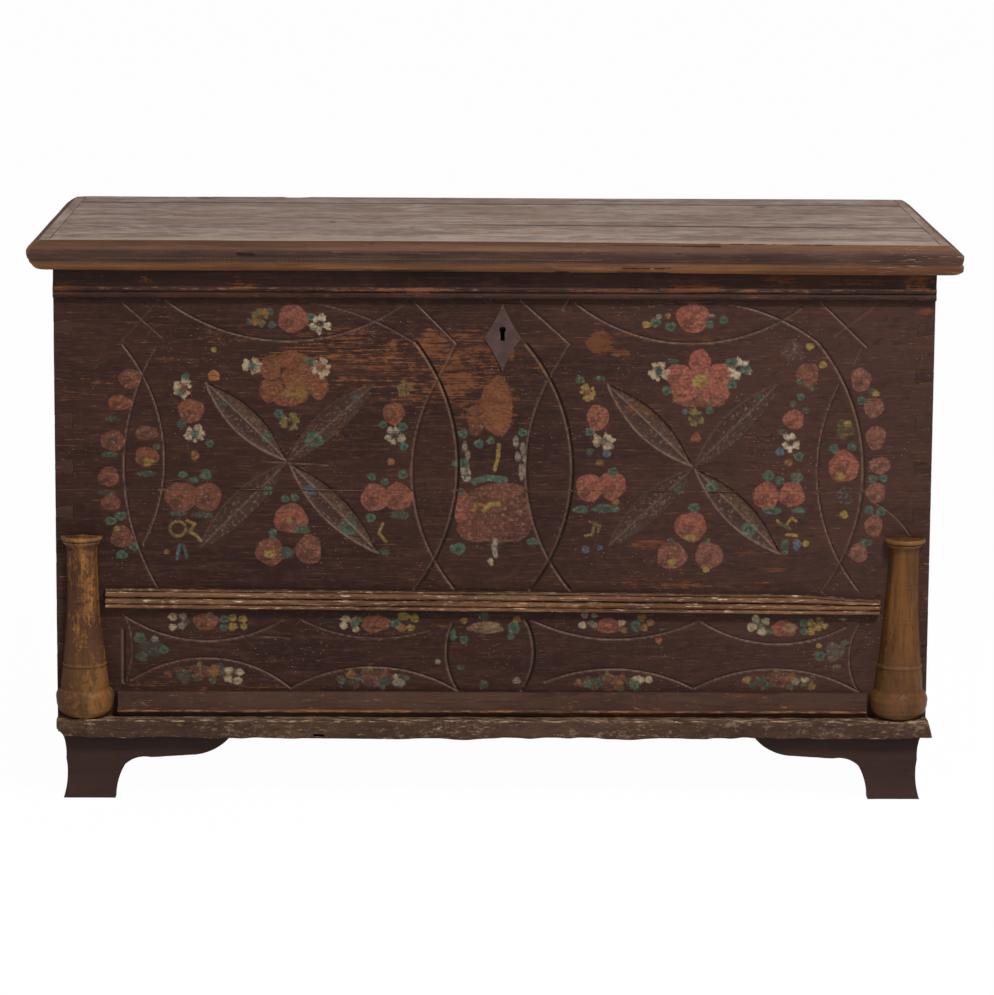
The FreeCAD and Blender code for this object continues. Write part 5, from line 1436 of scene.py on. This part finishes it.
def pick_board(outside, inside, out_normal, ends=None):
    """Materials of a board: its outer face, its ends and its bare inside."""
    def pick(skin):
        facing = skin.normals @ np.array(out_normal)
        at_end = np.abs(skin.normals[:, 0 if out_normal[0] == 0 else 1]) > 0.8
        numbers = np.where(facing > 0.9, 0, 1)
        numbers[at_end] = 2
        return [outside, inside, ends or END_GRAIN], numbers
    return pick


FINE_CELL = 2.0 * MM
# Points this near the front's plane are carved, and arrises this near the seam are closed
ON_FRONT, AT_SEAM = 0.01 * MM, 2 * MM


def beside(line, distance):
    """A line set off to one side of another."""
    line = np.array(line)
    along = np.gradient(line, axis=0)
    along /= np.maximum(np.linalg.norm(along, axis=1), 1e-9)[:, None]
    return [tuple(p) for p in line + distance * np.column_stack([-along[:, 1], along[:, 0]])]


cut_lines = []
for line, cut in CUTS:
    cut_lines.append(line)
    if cut is GOUGE:
        cut_lines += [beside(line, cut[0] / 2), beside(line, -cut[0] / 2)]
for lines in LEAF_LINES:
    cut_lines += lines

for node, seed in (("front_board_upper", 3), ("front_board_lower", 8)):
    front = {"pick": lambda n: n[1] < -0.9, "cell": FINE_CELL}
    skin = Skin(node, 9 * MM, 1.0 * MM, front, cut_lines)
    skin.wear(seed, 0.25 * MM)
    facing = np.abs(skin.rest[:, 1] - FRONT_Y) < ON_FRONT
    flat = skin.rest[:, [0, 2]]
    depth, groove, score = (np.zeros(len(flat)) for _ in range(3))
    depth[facing], groove[facing], score[facing] = carve(flat[facing])
    at_seam = np.abs(skin.rest[:, 2] - SEAM_Z) < AT_SEAM
    depth[(skin.marks != 0) & ~at_seam] = 0
    skin.points[:, 1] += depth
    skin.marks[at_seam] = 0
    canvas = Canvas(flat[facing])
    paint(canvas)
    ink = np.zeros((len(flat), 4))
    ink[facing, :3], ink[facing, 3] = canvas.colour, canvas.field
    worn = np.zeros(len(flat))
    worn[facing] = rubbing(flat[facing])
    piece = make(skin, "carcass",
                 pick_board(PAINT_FRONT, PINE["x"], (0, -1, 0), PAINT_MAROON["y"]), "carved")
    set_attributes(piece, ink=ink, groove=groove, score=score, worn=worn)

# Side, back and floor boards

# Each run of boards: name, levels, way out, cell, arris, dents, cell of the dents' grain, first
# seed, seeds between two boards
RUNS = (
    ("side_board_{}_left", ("upper", "lower"), (-1, 0, 0), 14, 1.0, 0.5, (20, 120, 20), 20, 4),
    ("side_board_{}_right", ("upper", "lower"), (1, 0, 0), 14, 1.0, 0.5, (20, 120, 20), 22, 4),
    ("back_board_{}", ("upper", "lower"), (0, 1, 0), 14, 1.2, 0.6, (140, 20, 20), 31, 4),
    ("floor_board_{}", ("front", "middle", "back"), (0, 0, 1), 16, 1.2, 0.5, (140, 30, 20), 41, 2),
)
for pattern, places, out, cell, ease, dents, grain, first, step in RUNS:
    for i, place in enumerate(places):
        node = pattern.format(place)
        skin = Skin(node, cell * MM, ease * MM)
        skin.wear(first + step * i, dents * MM, tuple(size * MM for size in grain))
        if out[0]:
            make(skin, "carcass",
                 pick_board(PAINT_MAROON["y"], PINE["y"], out, PAINT_MAROON["x"]))
        else:
            make(skin, "carcass",
                 pick_board(PINE["x"], PINE["x"], out))

# Lid

# The worn back left corner, and how far its round reaches
CORNER = (-615 * MM, 289.25 * MM)
CORNER_ROUND = 46 * MM
LID_FRONT, LID_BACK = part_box("lid_rim_front")[0].y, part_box("lid_board_back")[1].y
# How far the lid narrows at its back left, and sags at its front right
BACK_NARROWS, FRONT_SAGS = 7 * MM, 2.8 * MM
# How far the right end's bead juts out and its top is worn back, and the levels they start from
BEAD_JUTS, TOP_WORN = 8 * MM, 3 * MM
BEAD_LEVEL, TOP_LEVEL, LEVEL_RUN = 737, 745, 10


def weather_lid(points):
    """The lid's worn back left corner, its narrower back and its sagging front right corner."""
    points = np.array(points, float)
    back = np.clip((points[:, 1] - LID_FRONT) / (LID_BACK - LID_FRONT), 0, 1)
    points[:, 0] += BACK_NARROWS * back * past(-points[:, 0], 400, 200)
    points[:, 2] -= FRONT_SAGS * (1 - back) * past(points[:, 0], -100, 720)
    end = past(points[:, 0], 585, 30)
    points[:, 0] += BEAD_JUTS * end * past(-points[:, 2], -BEAD_LEVEL, LEVEL_RUN)
    points[:, 0] -= TOP_WORN * end * past(points[:, 2], TOP_LEVEL, LEVEL_RUN)
    points[:, 0] = np.minimum(points[:, 0], cad_high[0])
    centre = np.array([CORNER[0] + CORNER_ROUND, CORNER[1] - CORNER_ROUND])
    gap = points[:, :2] - centre
    beyond = (gap[:, 0] < 0) & (gap[:, 1] > 0)
    far = np.hypot(gap[:, 0], gap[:, 1])
    pull = beyond & (far > CORNER_ROUND)
    shrink = CORNER_ROUND / np.maximum(far, 1e-9)
    points[pull, :2] = centre + gap[pull] * shrink[pull, None]
    return points


# Smudges (above zero) and pale patches (below) on the lid's top, by photograph pixels
STAINS = (
    (212, 197, 18, 2.0, 0.9), (203, 199, 8, 1.2, 0.6), (333, 222, 6, 1.2, 0.8),
    (374, 219, 7, 1.0, 0.8), (352, 220, 5, 0.8, 0.5), (751, 209, 9, 1.6, 0.9),
    (767, 206, 7, 1.2, 0.6), (893, 218, 8, 2.0, 0.5), (600, 236, 30, 1.0, 0.35),
    (130, 226, 24, 3, -0.5), (415, 208, 22, 4, -0.7), (300, 232, 30, 3, -0.4),
    (250, 213, 40, 3, -0.35), (560, 214, 60, 3, -0.4), (585, 201, 60, 2, 0.35),
    (700, 232, 50, 3, -0.45), (830, 230, 40, 3, -0.5), (480, 228, 50, 2, 0.25),
    (160, 203, 30, 2, -0.4), (660, 222, 60, 1.6, 0.3), (840, 205, 30, 2, 0.3),
)
LID_TOP_Z = cad_high[2]


def on_lid(px, py):
    """The (x, y) of a photograph pixel on the level plane of the lid's top."""
    ray = view(px, py)
    point = EYE + ray * ((LID_TOP_Z - EYE.z) / ray.z)
    return np.array((point.x, point.y))


def stains(points):
    """How stained each point of the lid is, from the listed patches."""
    total = np.zeros(len(points))
    for px, py, rx, ry, strength in STAINS:
        middle, beyond = on_lid(px, py), on_lid(px, py - ry)
        gap = (points[:, :2] - middle) / (rx * PIXEL, abs(beyond[1] - middle[1]))
        total += strength * smooth(1.4 - np.hypot(gap[:, 0], gap[:, 1]))
    return total


def lid_pick(skin):
    """Materials of a lid board: its top, its underside and its ends."""
    numbers = np.where(skin.normals[:, 2] > 0.9, 0, 1)
    numbers[np.abs(skin.normals[:, 0]) > 0.9] = 2
    return [LID_TOP["x"], LID_UNDER, END_GRAIN], numbers


# The bite out of the back arris: its x and y, its reach and its depth
LID_NICK = (-280 * MM, 289 * MM, 14 * MM, 3.5 * MM)
NICK_ABOVE = 750 * MM


def nick(points, x, y, radius, depth):
    """A small bite out of the lid's top arris."""
    far = np.hypot((points[:, 0] - x) / radius, (points[:, 1] - y) / (radius * 0.5))
    points[:, 2] -= depth * smooth(1.2 - far) * (points[:, 2] > NICK_ABOVE)


for node, seed in (("lid_board_front", 51), ("lid_board_middle", 53), ("lid_board_back", 55)):
    skin = Skin(node, 8 * MM, 1.0 * MM).wear(seed, 0.7 * MM, (0.16, 0.018, 0.02), 1.0 * MM)
    if node == "lid_board_back":
        nick(skin.points, *LID_NICK)
    skin.points = weather_lid(skin.points)
    piece = make(skin, "lid", lid_pick)
    set_attributes(piece, stain=stains(skin.rest))
for node, seed, axis in (("lid_rim_front", 61, "x"), ("lid_rim_left", 63, "y"),
                         ("lid_rim_right", 65, "y")):
    grain = (0.1, 0.02, 0.01) if axis == "x" else (0.02, 0.1, 0.01)
    skin = Skin(node, 6 * MM, 0.8 * MM).wear(seed, 0.5 * MM, grain, 0.8 * MM)
    skin.points = weather_lid(skin.points)
    make(skin, "lid",
         lambda skin, axis=axis: ([RIM[axis], LID_TOP[axis]], skin.normals[:, 2] > 0.98))

# Mouldings

def one(material):
    """The same material on every face."""
    return lambda skin: ([material], np.zeros(len(skin.triangles)))


def proud(skin, low, high):
    """How far each point stands out between two depths, from 0 in a hollow to 1 on a crest."""
    return np.clip((-skin.rest[:, 1] - low * MM) / ((high - low) * MM), 0, 1)


# How far each moulding is worn back, drops or is broken, and the levels that part their members
FRIEZE_WORN, FRIEZE_FACE, FRIEZE_TOP = 5 * MM, -265 * MM, 700.5 * MM
MIDDLE_DROPS, MIDDLE_BITTEN = 5.5 * MM, 3.0 * MM
BASE_TOP = 124 * MM
PLINTH_BITTEN, PLINTH_FLARES, PLINTH_BROKEN = 2.2 * MM, 6 * MM, 9 * MM
PLINTH_LIP, PLINTH_LIP_FACE = 95, -279 * MM

skin = Skin("frieze_moulding", 6 * MM, 0.9 * MM).wear(71, 0.5 * MM, (0.07, 0.01, 0.01), 1.2 * MM)
end = past(-skin.rest[:, 0], 572, 18) * past(skin.rest[:, 2], 690, 20)
skin.points[:, 1] += FRIEZE_WORN * end * (skin.rest[:, 1] < FRIEZE_FACE)
piece = make(skin, "carcass", one(FRIEZE_COAT))
band = np.where(skin.rest[:, 2] > FRIEZE_TOP, 0.68, proud(skin, 267.6, 271.8))
set_attributes(piece, proud=band, worn=rubbing(skin.rest[:, [0, 2]]))

skin = Skin("middle_moulding", 4 * MM, 0.6 * MM).wear(73, 0.5 * MM, (0.03, 0.01, 0.006),
                                                      1.4 * MM)
above = skin.rest[:, 2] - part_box("middle_moulding")[0].z
skin.points[:, 2] -= MIDDLE_DROPS * past(skin.rest[:, 0], 400, 110) * past(above, 9, 17)
bitten = np.clip(ripple(skin.rest, (0.02, 0.02, 0.006), 83) - 0.45, 0, 1)
skin.points[:, 1] += MIDDLE_BITTEN * bitten * (skin.rest[:, 1] < FRONT_Y - 4 * MM)
piece = make(skin, "carcass", one(MOULDING_COAT))
set_attributes(piece, proud=proud(skin, 268.4, 274.6))

skin = Skin("base_moulding", 6 * MM, 0.9 * MM).wear(75, 0.9 * MM, (0.05, 0.01, 0.01), 1.2 * MM)
piece = make(skin, "carcass", one(BASE_COAT))
band = np.where(skin.rest[:, 2] > BASE_TOP, 0.62, proud(skin, 268, 274.8))
set_attributes(piece, proud=band, worn=rubbing(skin.rest[:, [0, 2]]))

skin = Skin("plinth_moulding", 5 * MM, 1.3 * MM).wear(77, 1.0 * MM, (0.04, 0.01, 0.01),
                                                      3.0 * MM)
x, z = skin.rest[:, 0], skin.rest[:, 2]
lip = past(-z, -PLINTH_LIP, 6) * (skin.rest[:, 1] < PLINTH_LIP_FACE)
wave = (ripple(skin.rest * (1, 0, 0), (0.045, 1, 1), 79)
        + 0.6 * ripple(skin.rest * (1, 0, 0), (0.017, 1, 1), 80))
skin.points[:, 2] += MM * (-1.6 + 1.9 * wave) * lip
bitten = np.clip(ripple(skin.rest, (0.03, 0.03, 0.009), 85) - 0.2, 0, 1)
skin.points[:, 1] += PLINTH_BITTEN * bitten
flare = past(x, 560, 30) * np.clip((114 * MM - z) / (24 * MM), 0, 1)
skin.points[:, 0] += PLINTH_FLARES * flare + PLINTH_BROKEN * past(-x, 560, 30) * past(-z, -100, 10)
skin.points[:, 1] = np.minimum(skin.points[:, 1], FRONT_Y)
piece = make(skin, "carcass", one(PLINTH_COAT))
crest = np.maximum(past(z, 106.5, 4), 0.75 * past(-z, -92, 3))
set_attributes(piece, proud=0.5 + 0.5 * crest)

# Feet

for corner in ("front_left", "front_right", "back_left", "back_right"):
    for run, axis in (("long", "x"), ("side", "y")):
        node = f"foot_bracket_{corner}_{run}"
        skin = Skin(node, 7 * MM, 0.9 * MM).wear(len(node) + len(corner), 0.4 * MM)
        make(skin, "carcass", one(FOOT_COAT[axis]))
    node = f"foot_block_{corner}"
    skin = Skin(node, 12 * MM, 1.2 * MM).wear(len(node), 0.4 * MM)
    make(skin, "carcass", one(PINE["z"]))

# Till boards

for node, body, seed in (("till_floor", "carcass", 91), ("till_wall", "carcass", 93),
                         ("till_lid", "till_lid", 95)):
    skin = Skin(node, 10 * MM, 0.6 * MM).wear(seed, 0.2 * MM, (0.02, 0.1, 0.02))
    make(skin, body, one(PINE["y"]))


# Columns: turned, weathered, one more worn than the other

COLUMN_PROUD, COLUMN_SIDES, COLUMN_STEP = 0.2 * MM, 96, 2.2 * MM
# Facets left by the gouge round the shaft, and the heights between which they show
FACETS, FACETS_FOOT, FACETS_TOP = 10, 60 * MM, 12 * MM
# Height above the foot and radius, in millimetres
LEFT_PROFILE = (
    (0, 26), (3, 31), (9, 36.5), (17, 39.2), (26, 40.2), (31, 39.7), (36, 37.6), (38.7, 35.2),
    (39.4, 33.6), (40.6, 33), (48, 32.6), (58, 31.6), (68, 30.2), (69.6, 29.4), (70.6, 30.6),
    (73.4, 30.6), (74.6, 29.2), (82, 28.9), (96, 27.4), (112, 25.6), (130, 23.8), (150, 22.4),
    (170, 21.6), (200, 21.4), (228, 21.3), (232, 21.7), (235.6, 23.4), (238.6, 25.8), (240, 26.2),
    (240.8, 25.6), (241.8, 27.4), (243.4, 28.7), (245.6, 28.8), (246.8, 28.0), (247.3, 26),
    (247.5, 10),
)
RIGHT_PROFILE = (
    (0, 26), (3, 31.5), (9, 36.8), (17, 39.4), (26, 40.2), (30, 39.2), (35, 36.8), (38.2, 34.6),
    (39, 33.4), (40.4, 32.8), (50, 32.2), (62, 31.2), (69.5, 30.2), (70.5, 31.2), (73.6, 31),
    (74.8, 29.6), (84, 28.6), (110, 26.7), (140, 24.6), (170, 22.8), (200, 21.4), (228, 20.6),
    (231.6, 21.1), (235, 22.8), (238, 25.4), (239.2, 25.8), (240, 25.2), (241.2, 27.2),
    (242.8, 28.5), (245.2, 28.7), (246.6, 27.8), (247.1, 26), (247.4, 10),
)


def column(node, profile, seed, facets, material, foot, top):
    """A half-round column turned from its profile, leaning as the photograph shows."""
    low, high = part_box(node)
    foot_x, top_x = on_front(*foot)[0], on_front(*top)[0]
    profile = np.array(profile) * MM
    height = high.z - low.z
    rows = []
    for (z0, r0), (z1, r1) in zip(profile, profile[1:]):
        pieces = max(1, math.ceil(math.hypot(z1 - z0, r1 - r0) / COLUMN_STEP))
        for i in range(pieces):
            rows.append((z0 + (z1 - z0) * i / pieces, r0 + (r1 - r0) * i / pieces))
    rows.append(tuple(profile[-1]))
    rows = np.array(rows)
    angles = np.linspace(0, math.tau, COLUMN_SIDES, endpoint=False)
    axis_y = FRONT_Y - COLUMN_PROUD
    points = []
    for z, r in rows:
        share = z / height
        cut = FACETS_FOOT < z < height - FACETS_TOP
        bevel = 1 - facets * (0.5 - 0.5 * np.cos(angles * FACETS)) * cut
        ring = np.column_stack([np.cos(angles), np.sin(angles), np.full(COLUMN_SIDES, z)])
        noise = ripple(ring * (0.03, 0.03, 1), (0.012, 0.012, 0.03), seed)
        fine = ripple(ring * (0.03, 0.03, 1), (0.003, 0.003, 0.012), seed + 1)
        radius = r * bevel * (1 - 0.012 * (1 + noise)) - 0.25 * MM * (1 + fine)
        x = foot_x + (top_x - foot_x) * share + ring[:, 0] * radius
        y = np.minimum(axis_y + ring[:, 1] * radius, high.y)
        points.append(np.column_stack([x, y, np.full(COLUMN_SIDES, low.z + z)]))
    points = np.concatenate(points)
    # The profile's ridges take paler paint, rubbed and painted highlight, and its hollows painted
    # shade
    bend = np.gradient(np.gradient(rows[:, 1]))
    edge = np.repeat(np.clip(-bend / (0.6 * MM), 0, 1), COLUMN_SIDES)
    hollow = np.repeat(np.clip(bend / (1.2 * MM), 0, 1), COLUMN_SIDES)
    last = (len(rows) - 1) * COLUMN_SIDES
    sides = [(j, (j + 1) % COLUMN_SIDES) for j in range(COLUMN_SIDES)]
    faces = [(ring + j, ring + k, ring + COLUMN_SIDES + k, ring + COLUMN_SIDES + j)
             for ring in range(0, last, COLUMN_SIDES) for j, k in sides]
    base, crown = len(points), len(points) + 1
    middle = [[foot_x, axis_y, low.z], [top_x, axis_y, high.z]]
    points = np.concatenate([points, middle])
    faces += [(base, k, j) for j, k in sides]
    faces += [(crown, last + j, last + k) for j, k in sides]
    points[:, 1] = np.clip(points[:, 1], low.y, high.y)
    points[:, 2] = np.clip(points[:, 2], low.z, high.z)
    mesh = bpy.data.meshes.new(node + "_turned")
    mesh.from_pydata(points.tolist(), [], faces)
    mesh.materials.append(material)
    mesh.polygons.foreach_set("use_smooth", np.ones(len(mesh.polygons), bool))
    mesh.set_sharp_from_angle(angle=SHARP_TURNING)
    piece = stand_in(mesh, "carcass", node)
    set_attributes(piece, edge=np.append(edge, (0, 0)), hollow=np.append(hollow * 0.8, (0, 0)))


column("column_left", LEFT_PROFILE, 5, 0.02, COLUMN_WORN, (85.9, 697), (81.7, 533))
column("column_right", RIGHT_PROFILE, 9, 0.035, COLUMN_SMOOTH, (898, 702), (905.4, 545))

# Escutcheon

skin = Skin("escutcheon", 2.5 * MM, 0.35 * MM).wear(81, 0.15 * MM, (0.012, 0.012, 0.012),
                                                    0.3 * MM)
make(skin, "carcass", one(PLATE), "hammered")

# Every CAD node that still shows takes dark iron, and the escutcheon's brads take painted iron

for name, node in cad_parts.items():
    if node.hide_render:
        continue
    coat = PLATE if name == "escutcheon_brads" else IRON
    for slot in node.material_slots:
        slot.material = coat

# Studio

FLOOR_GREY, FLOOR_WHITE = 0.86, 0.98


def wire(tree, pairs):
    """Links each output to its socket."""
    for output, socket in pairs:
        tree.links.new(output, socket)


def studio_floor():
    """A pale floor that the camera sees as nearly pure white, with soft shadows."""
    shader = Shader("studio_floor", 0.9, 0.1)
    shader.surface.inputs["Base Color"].default_value = (FLOOR_GREY, FLOOR_GREY, FLOOR_GREY, 1)
    seen = shader.node("ShaderNodeLightPath")
    share = shader.sum(seen.outputs["Is Camera Ray"], seen.outputs["Is Glossy Ray"], "MAXIMUM")
    share = shader.sum(share, seen.outputs["Is Transmission Ray"], "MAXIMUM")
    share = shader.times(share, FLOOR_WHITE)
    white = shader.node("ShaderNodeEmission")
    white.inputs["Color"].default_value = (1, 1, 1, 1)
    white.inputs["Strength"].default_value = 1.0
    blend = shader.node("ShaderNodeMixShader")
    wire(shader.tree, (
        (share, blend.inputs[0]), (shader.surface.outputs[0], blend.inputs[1]),
        (white.outputs[0], blend.inputs[2]),
        (blend.outputs[0], shader.tree.nodes["Material Output"].inputs["Surface"])))
    return shader.material


FLOOR_REACH, FLOOR_Z = 60, -0.2 * MM
floor_mesh = bpy.data.meshes.new("floor")
floor_mesh.from_pydata([(x * FLOOR_REACH, y * FLOOR_REACH, FLOOR_Z)
                        for x, y in ((-1, -1), (1, -1), (1, 1), (-1, 1))], [], [(0, 1, 2, 3)])
floor_mesh.materials.append(studio_floor())
floor = bpy.data.objects.new("floor", floor_mesh)
bpy.context.scene.collection.objects.link(floor)

# Light from all round, and the white that the camera sees behind the chest
AMBIENT, BACKDROP = 0.36, 1.0

world = bpy.data.worlds.new("studio")
bpy.context.scene.world = world
world.use_nodes = True
sky = world.node_tree
ambient = sky.nodes["Background"]
plain = sky.nodes.new("ShaderNodeBackground")
for light, strength in ((ambient, AMBIENT), (plain, BACKDROP)):
    light.inputs["Color"].default_value = (1, 1, 1, 1)
    light.inputs["Strength"].default_value = strength
path, either, chooser = (sky.nodes.new("ShaderNode" + kind)
                         for kind in ("LightPath", "Math", "MixShader"))
either.operation = "MAXIMUM"
wire(sky, (
    (path.outputs["Is Camera Ray"], either.inputs[0]),
    (path.outputs["Is Transmission Ray"], either.inputs[1]),
    (either.outputs[0], chooser.inputs[0]), (ambient.outputs[0], chooser.inputs[1]),
    (plain.outputs[0], chooser.inputs[2]),
    (chooser.outputs[0], sky.nodes["World Output"].inputs["Surface"])))

# Each lamp: its place, what it aims at, its side in metres and its power in watts
LAMPS = {
    "key": ((1.7, -3.0, 3.7), (0, 0, 0.45), 0.8, 205),
    "fill": ((-3.2, -3.0, 1.6), (0, 0, 0.4), 2.4, 22),
}
for name, (place, aim, side, power) in LAMPS.items():
    lamp = bpy.data.lights.new(name, "AREA")
    lamp.size, lamp.energy = side, power
    stand = bpy.data.objects.new(name, lamp)
    bpy.context.scene.collection.objects.link(stand)
    stand.location = place
    stand.rotation_euler = (Vector(aim) - Vector(place)).to_track_quat("-Z", "Y").to_euler()

bpy.context.scene.view_settings.view_transform = "Standard"
